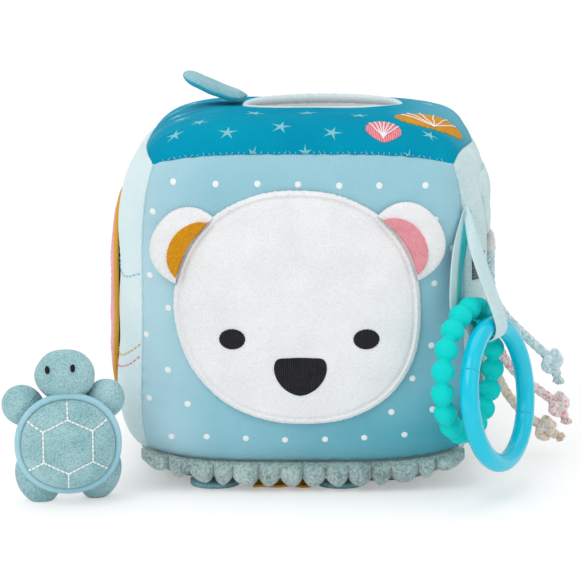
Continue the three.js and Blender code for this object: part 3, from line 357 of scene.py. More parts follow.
floor_mesh.materials.append(floor_finish.material)
floor = bpy.data.objects.new("floor", floor_mesh)
bpy.context.scene.collection.objects.link(floor)

world = bpy.data.worlds.new("white_room")
world.use_nodes = True
bpy.context.scene.world = world
room = world.node_tree
rays = room.nodes.new("ShaderNodeLightPath")
brightness = room.nodes.new("ShaderNodeMapRange")
brightness.inputs["To Min"].default_value = room_light
brightness.inputs["To Max"].default_value = room_seen
room.links.new(rays.outputs["Is Camera Ray"], brightness.inputs["Value"])
room.links.new(brightness.outputs[0], room.nodes["Background"].inputs["Strength"])
room.nodes["Background"].inputs["Color"].default_value = white

for lamp_name, place, spread, power in (
    ("key_lamp", (-0.75, -0.95, 1.25), 42, 0.95),
    ("fill_lamp", (1.1, -0.9, 0.7), 50, 0.3),
    ("top_lamp", (0.0, 0.3, 1.5), 60, 0.75),
):
    lamp_data = bpy.data.lights.new(lamp_name, "SUN")
    lamp_data.angle = np.radians(spread)
    lamp_data.energy = power
    lamp = bpy.data.objects.new(lamp_name, lamp_data)
    lamp.location = place
    lamp.rotation_euler = (Vector(place) - lamps_aim).to_track_quat("Z", "Y").to_euler()
    bpy.context.scene.collection.objects.link(lamp)
bpy.context.scene.view_settings.view_transform = "Standard"

# The block's six panels are brushed polyester cloth, sewn edge to edge and filled until they bulge. Their
# edges turn into the seams, where the cloth gathers a little, and the base lies flat on the surface.
half_corner, seam_bow, bow_power = 0.070, 0.0055, 4
crowns = {"front": 0.0105, "back": 0.0105, "left": 0.008, "right": 0.008, "top": 0.0094, "bottom": 0.014}
crown_power, base_crown_power = 8, 7
base_pressed, settled_share, upper_share = 0.004725, 0.955, 0.976
base_flare_share = 0.1
right_flare_share, right_flare_power, right_flare_from, right_flare_to = 0.2, 5, -0.06, -0.02
top_reach = half_corner + 2 * seam_bow + crowns["front"]
middle_height = (half_corner + 2 * seam_bow + crowns["bottom"]) * settled_share - base_pressed
block_middle = np.array([0, 0, middle_height])
corner_gap, panel_cloth = 0.0003, 0.0014
seam_end = 1 - corner_gap / half_corner / np.sqrt(2)
seam_dip, dip_width = 0.0006, 0.0014
gather_height, gather_pitch, gather_reach = 0.0002, 0.0085, 0.007
dimple_height, dimple_pitch, dimple_waves = 0.00045, 0.045, 9
face_turns = {
    "front": lambda a, d, b: (a, -d, b),
    "back": lambda a, d, b: (-a, d, b),
    "right": lambda a, d, b: (d, a, b),
    "left": lambda a, d, b: (-d, -a, b),
    "top": lambda a, d, b: (a, b, d),
    "bottom": lambda a, d, b: (a, -b, -d),
}


def bow(t):
    """How far a seam lies from the middle: a curve of high power over its length."""
    return half_corner + seam_bow * (1 - np.abs(t) ** bow_power)


def outwards(face, u, w):
    """How far out a face is at u and w, from -1 to 1: both seams' bows and a crown of high power."""
    power = base_crown_power if face == "bottom" else crown_power
    full = (1 - np.abs(u) ** power) * (1 - np.abs(w) ** power)
    return bow(u) + bow(w) - half_corner + crowns[face] * full


def flare(z):
    """The settled base is wider: a square law below the middle."""
    return 1 + base_flare_share * np.maximum(0, 1 - z / middle_height) ** 2


def right_flare(x, y, z):
    """The right side is fuller at the rear of the top: a law of high power above the middle."""
    rear = np.clip((y - right_flare_from) / (right_flare_to - right_flare_from), 0, 1)
    rear = right_flare_share * rear**2 * (3 - 2 * rear)
    return np.where(x > 0, 1 + rear * np.maximum(0, z / middle_height - 1) ** right_flare_power, 1)


def on_block(face, u, w):
    """A point of the block's skin: both bows, the settled height, the flares and the flat base."""
    x, y, level = face_turns[face](u * bow(w), outwards(face, u, w), w * bow(u))
    z = np.maximum(middle_height + level * np.where(level > 0, upper_share, settled_share), 0.0)
    return xyz(x * flare(z) * right_flare(x, y, z), y * flare(z), z)


def waves(length, pitch, seed):
    """A gentle uneven ripple along a length: four sine waves of nearly one pitch."""
    chance = np.random.default_rng(seed)
    return sum(np.sin(length / pitch * 2 * np.pi * chance.uniform(0.6, 1.5) + chance.uniform(0, 6.28))
               for _ in range(4)) / 2.4


def dimples(a, b, pitch, seed):
    """A soft uneven height from -1 to 1 over a plane: sine waves that run in scattered directions."""
    chance = np.random.default_rng(seed)
    total = 0
    for _ in range(dimple_waves):
        heading = chance.uniform(0, 2 * np.pi)
        wave = 2 * np.pi / pitch * chance.uniform(0.6, 1.5)
        total = total + np.sin((a * np.cos(heading) + b * np.sin(heading)) * wave + chance.uniform(0, 6.28))
    return total / np.sqrt(dimple_waves)


def cloth_height(face, u, w):
    """How far the cloth stands off its smooth shape: a dip into each seam, short gathers that die away
    from it, and broad soft dimples."""
    seed = 10 * sorted(face_turns).index(face)
    from_u, from_w = (1 - np.abs(u)) * half_corner, (1 - np.abs(w)) * half_corner
    along_u, along_w = u * half_corner, w * half_corner
    dip = np.exp(-from_u / dip_width) + np.exp(-from_w / dip_width)
    gathers = (waves(along_w, gather_pitch, seed + 1) * np.exp(-from_u / gather_reach)
               + waves(along_u, gather_pitch, seed + 2) * np.exp(-from_w / gather_reach))
    broad = dimples(along_u, along_w, dimple_pitch, seed + 3)
    inside = (1 - np.abs(u) ** 8) * (1 - np.abs(w) ** 8)
    return -seam_dip * np.minimum(dip, 1) + gather_height * gathers + dimple_height * broad * inside


def cloth_at(face, u, w, rise=0.0):
    """A point of a panel's cloth, with rise added along the surface's own normal."""
    step = 1e-4
    along_u = on_block(face, u + step, w) - on_block(face, u - step, w)
    along_w = on_block(face, u, w + step) - on_block(face, u, w - step)
    normal = unit(np.cross(along_u, along_w))
    point = on_block(face, u, w)
    facing = np.sum(normal * (point - block_middle), axis=-1, keepdims=True)
    height = np.asarray(cloth_height(face, u, w) + rise)[..., None]
    cloth = point + normal * np.sign(facing) * height
    cloth[..., 2] = np.maximum(cloth[..., 2], 0.0)
    return cloth


def divided(a, b):
    """The u and w at two of a face's own lengths, found by dividing again and again by the bows."""
    u, w = a / half_corner, b / half_corner
    for _ in range(12):
        u, w = a / bow(w), b / bow(u)
    return np.clip(u, -1, 1), np.clip(w, -1, 1)


def level_of(z):
    """A height's distance from the block's middle before the filling settles."""
    return (z - middle_height) / np.where(z > middle_height, upper_share, settled_share)


def front_at(x, z, rise=0.0):
    """The point of the front at x and z, with rise added forwards."""
    u, w = divided(x / flare(z), level_of(z))
    return xyz(x, -outwards("front", u, w) * flare(z) - rise, z)


def right_at(y, z, rise=0.0):
    """The point of the right side at y and z, with rise added to the right."""
    u, w = divided(y / flare(z), level_of(z))
    return xyz(outwards("right", u, w) * flare(z) * right_flare(1.0, y, z) + rise, y, z)


def left_at(y, z, rise=0.0):
    """The point of the left side at y and z, with rise added to the left."""
    u, w = divided(-y / flare(z), level_of(z))
    return xyz(-outwards("left", u, w) * flare(z) - rise, y, z)


def top_lengths(x, y):
    """The u and w of the top at x and y, found by repeating, because the flares hang on the height."""
    z = np.full(np.shape(x), middle_height + top_reach * upper_share)
    for _ in range(4):
        u, w = divided(x / flare(z) / right_flare(x, y, z), y / flare(z))
        z = on_block("top", u, w)[..., 2]
    return u, w


def brushed_cloth(name, light, dark, depth=0.00016, nap=1100.0, sheen=0.35, specular=0.25):
    """Brushed polyester: broad patches where the nap lies two ways, a fine nap and a finer weave."""
    finish = Finish(name, 0.95, sheen, specular)
    fine = finish.noise(nap, 4.0, Roughness=0.7)
    lie = finish.math("ADD", finish.noise(26.0, 3.0), finish.math("MULTIPLY", fine, 0.55))
    finish.lie = finish.ramp(lie, 0.5, 1.1)
    weave = finish.noise(nap * 2.4, 2.0)
    return finish.surface(finish.mix(finish.lie, tint(light), tint(dark)), finish.math("ADD", fine, weave),
                          depth)


def plain_thread(name, light, dark):
    """Sewing thread: fine and smooth."""
    return brushed_cloth(name, light, dark, depth=0.00002, nap=3000.0, sheen=0.1)


# Where painted light pales the front and back cloth towards the left, and where painted shade deepens it
# towards the lower right.
painted_light_from, painted_light_to = -0.04, -0.085
painted_shade_from, painted_shade_to, painted_shade_top, painted_shade_foot = -0.06, 0.075, 0.085, 0.03


def shade_painted_cloth(name, light, dark, painted_lit_light, painted_lit_dark, painted_shaded_light, painted_shaded_dark):
    """Brushed cloth with painted light and shade: painted light makes it paler towards the left, and
    painted shade makes it deeper towards the lower right.
    """
    finish = brushed_cloth(name, light, dark, sheen=0.15, specular=0.1)
    # The share of painted light across the cloth, then the share of painted shade across and down.
    left = finish.ramp(finish.axis("X"), painted_light_from, painted_light_to)
    right = finish.ramp(finish.axis("X"), painted_shade_from, painted_shade_to)
    low = finish.ramp(finish.axis("Z"), painted_shade_top, painted_shade_foot)
    finish.cover(left, finish.mix(finish.lie, tint(painted_lit_light), tint(painted_lit_dark)))
    return finish.cover(finish.math("MULTIPLY", right, low),
                        finish.mix(finish.lie, tint(painted_shaded_light), tint(painted_shaded_dark)))


def terry(name, light, dark, loop=1500.0, depth=0.0004, sheen=0.3):
    """Looped terry: small round loops whose hollows are darkened by painted shade, and broad patches in
    their lie.
    """
    finish = Finish(name, 0.97, sheen)
    wobble = finish.node("TexNoise", {"Vector": finish.place, "Scale": loop * 0.3, "Detail": 2.0}, "Color")
    bent = finish.mix(0.0012, finish.place, wobble)
    loops = finish.node("TexVoronoi", {"Vector": bent, "Scale": loop}, "Distance", feature="SMOOTH_F1")
    # The share of the dark colour: painted shade in the loops' hollows, and broad patches of the lie.
    share = finish.math("ADD", finish.ramp(loops, 0.25, 0.75, 0.0, 0.7),
                        finish.ramp(finish.noise(60.0, 4.0), 0.35, 0.75, 0.0, 0.6), use_clamp=True)
    return finish.surface(finish.mix(share, tint(light), tint(dark)), finish.math("SUBTRACT", 1.0, loops),
                          depth)


def speckled_cloth(name, light, dark, spot):
    """Smooth pale cloth with a close print of tiny white dots."""
    finish = brushed_cloth(name, light, dark, nap=1600.0)
    turned = finish.node("Mapping", {"Vector": finish.node("TexCoord", {}, "UV"),
                                     "Rotation": (0, 0, np.radians(45)), "Scale": (300, 300, 300)})
    dots = finish.node("TexVoronoi", {"Vector": turned, "Scale": 1.0, "Randomness": 0.0}, "Distance",
                       voronoi_dimensions="2D")
    return finish.cover(finish.ramp(dots, 0.07, 0.12, 1.0, 0.0), tint(spot))


def closer_at_ends(steps, end):
    """Steps from -end to end that are closer together towards both ends."""
    t = np.linspace(-1, 1, steps + 1)
    return end * (t + np.sin(t * np.pi / 2)) / 2


def give_cloth(piece, face):
    """Gives a panel its cloth's thickness, inwards, and measures its flat size through its middle."""
    layer = piece.modifiers.new("cloth", "SOLIDIFY")
    layer.thickness = panel_cloth
    layer.offset = -1
    flat = (path_length(cloth_at(face, panel_shares, 0 * panel_shares)),
            path_length(cloth_at(face, 0 * panel_shares, panel_shares)))


# Its colours: the plain cloth, then the cloth under painted light, then the cloth under painted shade.
dotted_blue = shade_painted_cloth("dotted_blue_cloth", (160, 206, 219), (138, 190, 205), (192, 224, 233),
                          (172, 210, 222), (74, 172, 190), (48, 154, 174))
pale_aqua = speckled_cloth("speckled_aqua_cloth", (222, 241, 243), (208, 233, 237), (243, 250, 251))
panel_finishes = {
    "front": (dotted_blue, "dotted_blue_cloth"),
    "back": (dotted_blue, "dotted_blue_cloth"),
    "left": (pale_aqua, "pale_aqua_cloth"),
    "right": (terry("pale_aqua_terry", (214, 235, 237), (184, 213, 216)), "pale_terry"),
    "bottom": (terry("sea_green_plush", (176, 198, 196), (138, 164, 162), loop=900.0, depth=0.0006),
               "sea_green_plush"),
}
panel_shares = closer_at_ends(120, seam_end)
panel_u, panel_w = np.meshgrid(panel_shares, panel_shares, indexing="ij")
for face, (finish, slot_name) in panel_finishes.items():
    panel = sewn_piece(f"{face}_cloth", [(cloth_at(face, panel_u, panel_w), (0.14, 0.14), (False, False))],
                       finish, "block", [f"{face}_panel"], slot_name, block_middle)
    give_cloth(panel, face)

# The top is starred teal cloth with an oval opening for the pocket. It is laid out from the opening's edge
# to its four seams, so that its cloth runs round the opening. A painted sheen of its nap makes it paler
# at the right, and in slanting streaks at the left.
mouth = {"x": 0.010, "y": 0.001, "half_length": 0.041, "half_width": 0.0165, "turn": np.radians(5)}
edge_steps, mouth_overlap = 72, 0.0002
# Where the painted sheen of the nap lies: at the right, and in slanting streaks at the left.
painted_sheen_from, painted_sheen_to, painted_sheen_front, painted_sheen_rear, painted_sheen_share = 0.04, 0.075, -0.056, -0.03, 0.62
sheen_streaks_from, sheen_streaks_to, sheen_streaks_slant = -0.035, -0.07, np.radians(20)


def turned(a, b, angle):
    """Two lengths turned by an angle."""
    return a * np.cos(angle) - b * np.sin(angle), a * np.sin(angle) + b * np.cos(angle)


def oval_ring(half_length, half_width, turns):
    """An oval about the pocket's middle, turned with its mouth."""
    a, b = turned(half_length * np.cos(turns), half_width * np.sin(turns), mouth["turn"])
    return mouth["x"] + a, mouth["y"] + b


teal = brushed_cloth("starred_teal_cloth", (0, 156, 188), (0, 136, 170), sheen=0.0, specular=0.05)
# Painted sheen of the nap: paler at the right and in slanting streaks at the left, fading out towards the
# front.
slant = teal.node("Mapping", {"Vector": teal.place, "Rotation": (0, 0, sheen_streaks_slant),
                              "Scale": (30, 420, 90)})
sheen_streaks = teal.math("MULTIPLY", teal.ramp(teal.axis("X"), sheen_streaks_from, sheen_streaks_to),
                    teal.ramp(teal.noise(1.0, 5.0, slant), 0.45, 0.62))
painted_sheen = teal.math("MAXIMUM", teal.ramp(teal.axis("X"), painted_sheen_from, painted_sheen_to), sheen_streaks)
teal.cover(teal.math("MULTIPLY", painted_sheen, teal.ramp(teal.axis("Y"), painted_sheen_front, painted_sheen_rear, 0.0, painted_sheen_share)),
           tint((128, 190, 202)))
edge = closer_at_ends(edge_steps, seam_end)[:-1]
rim = np.full(edge_steps, seam_end)
square_u, square_w = np.concatenate([edge, rim, -edge, -rim]), np.concatenate([-rim, edge, rim, -edge])
square = on_block("top", square_u, square_w)
aim = np.arctan2((square[:, 1] - mouth["y"]) / mouth["half_width"],
                 (square[:, 0] - mouth["x"]) / mouth["half_length"]) - mouth["turn"] * 1.5
inner_u, inner_w = top_lengths(*oval_ring(mouth["half_length"] - mouth_overlap,
                                          mouth["half_width"] - mouth_overlap, aim))
share = (0.5 - 0.5 * np.cos(np.linspace(0, np.pi, 61)))[:, None]
top_grid = cloth_at("top", inner_u + (square_u - inner_u) * share, inner_w + (square_w - inner_w) * share)
top_cloth = sewn_piece("top_cloth", [(top_grid, (0.07, 0.56))], teal, "block", ["top_panel"],
                       "starred_teal_cloth", block_middle)
give_cloth(top_cloth, "top")

# The seams: the two edges meet over a turned-in allowance, which shows as a thin line of its own cloth.
# Along the front of the top, pale overlocking shows as short ticks.
seam_radius, seam_share = 0.00055, 0.9915
tick_pitch, tick_reach, tick_radius, tick_rise = 0.0027, 0.0004, 0.00011, 0.00022
ticks_end, tick_slip, tick_lean = 0.93, 0.006, 0.008
along_seam, one = np.linspace(-1, 1, 260), np.ones(260)
seams = {
    "blue": (dotted_blue, "dotted_blue_cloth",
             [("front", -one, along_seam), ("front", one, along_seam), ("back", -one, along_seam),
              ("back", one, along_seam), ("front", along_seam, -one), ("back", along_seam, -one)]),
    "teal": (teal, "starred_teal_cloth",
             [("front", along_seam, one), ("back", along_seam, one), ("top", -one, along_seam),
              ("top", one, along_seam)]),
    "pale": (pale_aqua, "pale_aqua_cloth", [("bottom", -one, along_seam), ("bottom", one, along_seam)]),
}
for seam_name, (finish, slot_name, routes) in seams.items():
    grids = [(tube(block_middle + (on_block(*route) - block_middle) * seam_share, seam_radius, 10,
                   (0.31, 0.22, 0.11)), (0.14, 0.004)) for route in routes]
    sewn_piece(f"{seam_name}_seam_allowance", grids, finish, "block", slot=slot_name, middle=block_middle)

tick_chance = np.random.default_rng(61)
tick_grids = []
for place in np.arange(-ticks_end, ticks_end, tick_pitch / half_corner):
    reach = tick_reach / half_corner * tick_chance.uniform(0.5, 1.3)
    ends = on_block("front", np.full(4, place) + tick_chance.uniform(-tick_slip, tick_slip),
                    1 - reach * np.array([1.0, 0.5, 0.2, 0.0]))
    over = on_block("top", np.full(3, place) + tick_chance.uniform(-tick_lean, tick_lean),
                    -1 + reach * np.array([0.2, 0.6, 1.1]))
    path = np.concatenate([ends, over]) + unit(np.array([0.0, -1.0, 1.0])) * tick_rise
    tick_grids.append((tube(path, tick_radius, 6, (1.0, 0.1, 0.0)), (0.002, 0.001)))
sewn_piece("seam_ticks", tick_grids, brushed_cloth("overlock_thread", (186, 222, 228), (150, 204, 214)),
           "block", slot="dotted_blue_cloth", middle=block_middle)

# Prints on the cloth: pale stars on the top, white dots on the front and back. Each is a thin film of
# colour that follows the cloth and stands a tenth of a millimetre off it. Places and sizes in millimetres.
print_rise, dot_radius, star_waist = 0.00012, 0.00155, 0.26
dot_places = [
    (-69.7, 133.1), (-71.3, 103.3), (-62.5, 88.9), (-73.7, 74.5), (-62.8, 59.7), (-72.4, 44.6),
    (-53.8, 44.1), (41.1, 40.7), (50.8, 56.4), (59.6, 71.5), (60.7, 100.7), (60.5, 41.0),
    (-60.0, 147.3), (-40.1, 146.7), (-20.9, 146.9), (-2.3, 146.8), (16.6, 146.1), (35.0, 146.1),
    (56.4, 145.8), (-61.8, 27.2), (-45.1, 28.1), (-26.7, 27.6), (-8.4, 26.8), (10.3, 27.1),
    (28.6, 28.1), (47.4, 29.3), (69.5, 56.8), (70.5, 86.4), (69.6, 116.2), (61.0, 130.2),
]
back_pitch_across, back_pitch_up, back_first = 0.0192, 0.0148, 0.028
star_places = [
    (-60.0, -60.0, 4.8, 0.2), (-49.0, -51.0, 4.6, 0.5), (-35.2, -65.0, 5.0, 0.1),
    (-23.1, -35.5, 5.0, 0.4), (-10.3, -62.0, 5.2, 0.25), (1.9, -34.0, 5.0, 0.05),
    (13.6, -65.5, 5.0, 0.35), (26.7, -45.0, 4.6, 0.15), (59.5, -59.4, 4.4, 0.3),
    (-63.5, 8.8, 4.8, 0.2), (-58.6, -33.0, 4.6, 0.45), (-62.0, -12.0, 4.8, 0.1),
    (-56.0, 33.0, 5.0, 0.3), (-36.0, 44.0, 4.8, 0.0), (-12.0, 36.0, 5.0, 0.5), (13.0, 46.0, 5.0, 0.2),
    (37.0, 36.0, 4.8, 0.4), (60.0, 44.0, 4.8, 0.1), (63.0, 14.0, 4.6, 0.3), (-24.0, 60.0, 4.8, 0.2),
    (2.0, 62.0, 5.0, 0.1), (27.0, 60.0, 4.8, 0.35), (52.0, 62.0, 4.6, 0.15), (-50.0, 60.0, 4.6, 0.4),
    (-38.0, 25.0, 4.6, 0.3), (1.0, -75.2, 3.4, 0.0), (-23.0, -75.6, 3.2, 0.4), (49.0, -74.6, 3.2, 0.2),
]
tucked_rim = np.array([1.0, 1.0, 1.0, -1.2])[:, None] * print_rise


def smooth_finish(name, roughness, colour, strength, cloud, grain, depth, **settings):
    """An even colour that one noise darkens to a strength, with a finer noise in its surface. Each noise
    is (scale, detail), and the grain does both where cloud is None."""
    finish = Finish(name, roughness, **settings)
    bumps = finish.noise(*grain)
    mixed = finish.mix(finish.noise(*cloud) if cloud else bumps, tint(colour), tint(colour, strength))
    return finish.surface(mixed, bumps, depth)


def print_finish(name, colour):
    """Printing ink on brushed cloth: matt, with the nap showing through."""
    return smooth_finish(name, 0.9, colour, 0.86, None, (1300.0, 3.0), 0.0001, sheen=0.3)


def dot_grid(face, across, level):
    """One round dot on the front or back, whose rim is tucked into the cloth."""
    rings, turns = np.array([0.0, 0.5, 0.9, 1.0])[:, None], full_turn(18)
    x, z = across + dot_radius * rings * np.cos(turns), level + dot_radius * rings * np.sin(turns)
    u, w = divided(x / flare(z), level_of(z))
    return cloth_at(face, u if face == "front" else -u, w, tucked_rim), (0.001, 0.008)


def star_grid(x, y, size, lean):
    """One five-pointed star on the top, whose rim is tucked into the cloth."""
    tips = np.arange(10)
    size = np.where(tips % 2 == 0, size, size * star_waist) / 1000
    reach = np.array([0.0, 0.5, 0.93, 1.0])[:, None] * size
    spin = tips * np.pi / 5 + lean
    u, w = top_lengths(x / 1000 + reach * np.sin(spin), y / 1000 + reach * np.cos(spin))
    return cloth_at("top", u, w, tucked_rim), (0.005, 0.02)


dot_grids = [dot_grid("front", x / 1000, z / 1000) for x, z in dot_places]
dot_grids += [dot_grid("back", (column - 3.5 + 0.25 * (-1) ** row) * back_pitch_across,
                       back_first + row * back_pitch_up) for row in range(9) for column in range(8)]
sewn_piece("printed_dots", dot_grids, print_finish("white_ink", (242, 246, 246)), "block",
           slot="dotted_blue_cloth", middle=block_middle)
sewn_piece("printed_stars", [star_grid(*star) for star in star_places],
           print_finish("pale_blue_ink", (120, 196, 208)), "block", slot="starred_teal_cloth",
           middle=block_middle)

# The pocket has a rolled binding of pale cloth round its mouth, whose rear lip stands up, and a cup of
# white plush inside, which narrows to a round floor.
seat_gap = 0.0004
binding_radius, binding_sink, binding_ripple = 0.0019, 0.0009, 0.05
lip_rise, lip_thin, lip_thicker = 0.0024, 0.8, 0.6
lining_depth, lining_cloth, lining_rise, lining_narrowing = 0.052, 0.0011, 0.0036, 0.9
fold_height, fold_pitch, fold_share = 0.0004, 0.012, 30
bound_length = mouth["half_length"] - seat_gap - binding_radius
bound_width = mouth["half_width"] - seat_gap - binding_radius


def rear_lip(turns):
    """How much of the rear lip there is at an angle round the mouth, from 0 to 1."""
    return np.clip(np.sin(turns), 0, 1) ** 0.7


bind_turns = full_turn(240)
bind_x, bind_y = oval_ring(bound_length, bound_width, bind_turns)
bind_top = on_block("top", *top_lengths(bind_x, bind_y))[:, 2]
bind_path = xyz(bind_x, bind_y, bind_top - binding_sink + lip_rise * rear_lip(bind_turns))
bind_relief = ((0.92 + binding_ripple * waves(bind_turns * 0.034, 0.0045, 71))
               * (lip_thin + lip_thicker * rear_lip(bind_turns)))
bind_tube = tube(bind_path, binding_radius * bind_relief[:, None], 20, (0.0, 0.0, 1.0), closed=True)
bind_cloth = speckled_cloth("binding_cloth", (222, 234, 237), (200, 218, 223), (236, 244, 246))
sewn_piece("mouth_binding", [(bind_tube, (0.2, 0.012), (True, True))], bind_cloth, "block",
           ["pocket_binding"], "pale_aqua_cloth")

white_plush = terry("white_plush", (240, 241, 242), (224, 226, 228), depth=0.00022, sheen=0.1)
lining_top = float(on_block("top", *top_lengths(mouth["x"] + bound_length, mouth["y"]))[2])
lining_top -= binding_sink + binding_radius + seat_gap


def cup_wall(inset):
    """The pocket's wall: an oval that narrows with the fourth power of its depth."""
    share, turns = np.linspace(0, 1, 42)[:, None], full_turn(120)[None, :]
    narrow = np.sqrt(1 - lining_narrowing * share**4)
    x, y = oval_ring(bound_length * narrow - inset, bound_width * narrow - inset, turns)
    rise = lining_rise * rear_lip(turns) * (1 - share) ** 6
    wall = xyz(x, y, lining_top - (lining_depth - inset) * share + rise)
    fold = np.maximum(fold_height * dimples(turns * 0.03, share * 0.05, fold_pitch, 72), 0)
    centre = np.array([mouth["x"], mouth["y"]])
    wall[..., :2] -= (wall[..., :2] - centre) * fold[..., None] * fold_share
    floor_points = xyz(*centre, wall[-1, :, 2])[None]
    return np.concatenate([wall, floor_points])


cup = np.concatenate([cup_wall(lining_cloth)[::-1], cup_wall(0.0)])
sewn_piece("pocket_cup", [(cup, (0.12, 0.2))], white_plush, "block", ["pocket_lining"], "white_plush")

# Inside, loose polyester fibre fills the block in two halves that close round the pocket and round the
# rattle. Nothing of it shows.
tuft_sink, tuft_height, tuft_pitch = 0.0004, 0.0003, 0.016
loose_fibre = Finish("loose_fibre", 1.0, 0.2)
fibre_nap = loose_fibre.noise(240.0, 5.0)
loose_fibre.surface(loose_fibre.mix(fibre_nap, tint((250, 250, 246)), tint((228, 228, 220))), fibre_nap,
                    0.0008)
for half in ("filling_lower", "filling_upper"):
    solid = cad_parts[half]
    wad = bpy.data.objects.new(half + "_fibre", solid.data.copy())
    wad.data.transform(solid.matrix_world)
    bpy.context.scene.collection.objects.link(wad)
    shape = bmesh.new()
    shape.from_mesh(wad.data)
    bmesh.ops.remove_doubles(shape, verts=shape.verts, dist=2e-6)
    bmesh.ops.subdivide_edges(shape, edges=shape.edges, cuts=1, use_grid_fill=True)
    bmesh.ops.recalc_face_normals(shape, faces=shape.faces)
    shape.to_mesh(wad.data)
    count = len(shape.verts)
    shape.free()
    spots, ways = np.empty(count * 3), np.empty(count * 3)
    wad.data.vertices.foreach_get("co", spots)
    wad.data.vertices.foreach_get("normal", ways)
    spots, ways = spots.reshape(-1, 3), ways.reshape(-1, 3)
    tufts = np.abs(dimples(spots[:, 0] + spots[:, 2], spots[:, 1] - spots[:, 2], tuft_pitch, 81))
    tufted = spots - ways * (tuft_sink + tuft_height * tufts)[:, None]
    wad.data.vertices.foreach_set("co", tufted.ravel())
    wad.data.materials.clear()
    wad.data.materials.append(loose_fibre.material)
    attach(wad, "block")
    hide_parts(half)


def moulded_finish(name, colour, roughness, grain=900.0, depth=0.00002, coat=0.0, specular=0.5):
    """Moulded plastic or silicone: an even colour with a faint cloud and the mould's fine grain."""
    finish = smooth_finish(name, roughness, colour, 0.9, (40.0, 2.0), (grain, 2.0), depth,
                           specular=specular)
    finish.shader.inputs["Coat Weight"].default_value = coat
    finish.shader.inputs["Coat Roughness"].default_value = 0.08
    return finish


rattle_plastic = moulded_finish("rattle_plastic", (238, 240, 242), 0.4)
for node_name in ("rattle_cup_lower", "rattle_cup_upper", "rattle_ball"):
    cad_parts[node_name].material_slots[0].material = rattle_plastic.material

# The bear's head is a flat pad of short white plush, sewn down round its edge by a raised line of white
# stitching. It lies on the bowed front.
head_x, head_z = -0.0028, 0.0899
head_half_width, head_half_height = 0.057, 0.0543
head_power, head_lean = 2.2, 0.0034
head_pad, head_rim = 0.006, 0.0016
edge_stitch = {"inset": 0.0016, "width": 0.0006, "height": 0.0007}
edge_groove = {"inset": 0.0029, "width": 0.0008, "depth": 0.0008}
head_dimple, head_dimple_pitch = 0.00035, 0.03


def round_edge(half_width, half_height, power, turns):
    """An outline whose corners are rounder or squarer as its power falls or rises."""
    a = half_width * np.sign(np.cos(turns)) * np.abs(np.cos(turns)) ** (2 / power)
    b = half_height * np.sign(np.sin(turns)) * np.abs(np.sin(turns)) ** (2 / power)
    return a, b


def reach_of(a, b, half_width, half_height, power):
    """How far out a place lies in such an outline, from 0 in its middle to 1 on its edge."""
    return (np.abs(a / half_width) ** power + np.abs(b / half_height) ** power) ** (1 / power)


def chin_shift(z):
    """The chin lies a little to the right of the brow."""
    return head_lean * np.maximum(0, (head_z - z) / head_half_height)


def crown_rise(height, rim, share):
    """A pad's height: a rim, and over it a crown that falls away towards the edge."""
    return rim + (height - rim) * np.sqrt(np.maximum(0, 1 - share**3))


def ridge(distance, width):
    """A rounded ridge of height 1 at distance 0."""
    return np.exp(-((distance / width) ** 2))


def head_height(x, z):
    """The head's height over the front: its crown, dimples, and the stitched line inside its edge."""
    share = np.minimum(1, reach_of(x - head_x - chin_shift(z), z - head_z, head_half_width,
                                   head_half_height, head_power))
    from_edge = (1 - share) * head_half_width
    line = (edge_stitch["height"] * ridge(from_edge - edge_stitch["inset"], edge_stitch["width"])
            - edge_groove["depth"] * ridge(from_edge - edge_groove["inset"], edge_groove["width"]))
    uneven = head_dimple * dimples(x, z, head_dimple_pitch, 91) * (1 - share**4)
    return crown_rise(head_pad, head_rim, share) + line + uneven


def head_at(x, z, rise=0.0):
    """A point on the head's plush, with rise added forwards."""
    return front_at(x, z, seat_gap + head_height(x, z) + rise)


def pad(name, edge, middle, rows, over, under, lengths, finish, body, node, slot):
    """A closed pad inside an outline: its back from the middle out, then its front from the edge in.
    over(a, b, share) and under(a, b) give its two sides, and its rows crowd towards the edge, where it
    turns down."""
    shares = (np.sin(np.linspace(0, np.pi / 2, rows)) ** 0.8)[:, None]
    a, b = (at + (side - at) * shares for at, side in zip(middle, edge))
    grid = np.concatenate([under(a, b), over(a, b, np.broadcast_to(shares, a.shape))[::-1]])
    piece = sewn_piece(name, [(grid, lengths)], finish, body, [node], slot)
    return piece


head_turns = full_turn(260)
fluff = 1 + 0.0035 * waves(head_turns * 0.055, 0.0016, 92)
edge_x, edge_z = round_edge(head_half_width, head_half_height, head_power, head_turns)
edge_x, edge_z = edge_x * fluff + head_x, edge_z * fluff + head_z
pad("bear_head_plush", (edge_x + chin_shift(edge_z), edge_z), (head_x, head_z), 110,
    lambda x, z, share: head_at(x, z), lambda x, z: front_at(x, z, seat_gap), (0.11, 0.34), white_plush,
    "block", "bear_head", "white_plush")

# Each ear is a stuffed half-round of the same plush with a satin-stitched patch, sewn on along the edge
# that meets the head. It leans back a little.
ear_pad, ear_rim, ear_gap, ear_slope, ear_power = 0.005, 0.0014, -0.0003, 0.21, 2.2
ears = {
    "left": {"x": -0.0531, "z": 0.1186, "along": 0.018, "out": 0.0165, "turn": np.radians(142),
             "yarn": (236, 166, 8), "shade": (204, 134, 0), "slot": "ochre_stitching"},
    "right": {"x": 0.0477, "z": 0.1207, "along": 0.0182, "out": 0.0169, "turn": np.radians(38),
              "yarn": (246, 176, 184), "shade": (230, 140, 152), "slot": "rose_stitching"},
}
ear_steps, ear_middle, ear_fluff, ear_dimple = 200, 0.004, 0.012, 0.0003
patch_out, patch_along, patch_inward, patch_gap = 0.72, 0.82, 0.25, 0.0004
patch_steps, patch_middle, patch_sink, patch_back = 160, 0.0045, 0.0002, 0.0012
patch_valley, patch_ripple = 0.0004, 0.00012
stitch_pad, stitch_rim = 0.0012, 0.0006


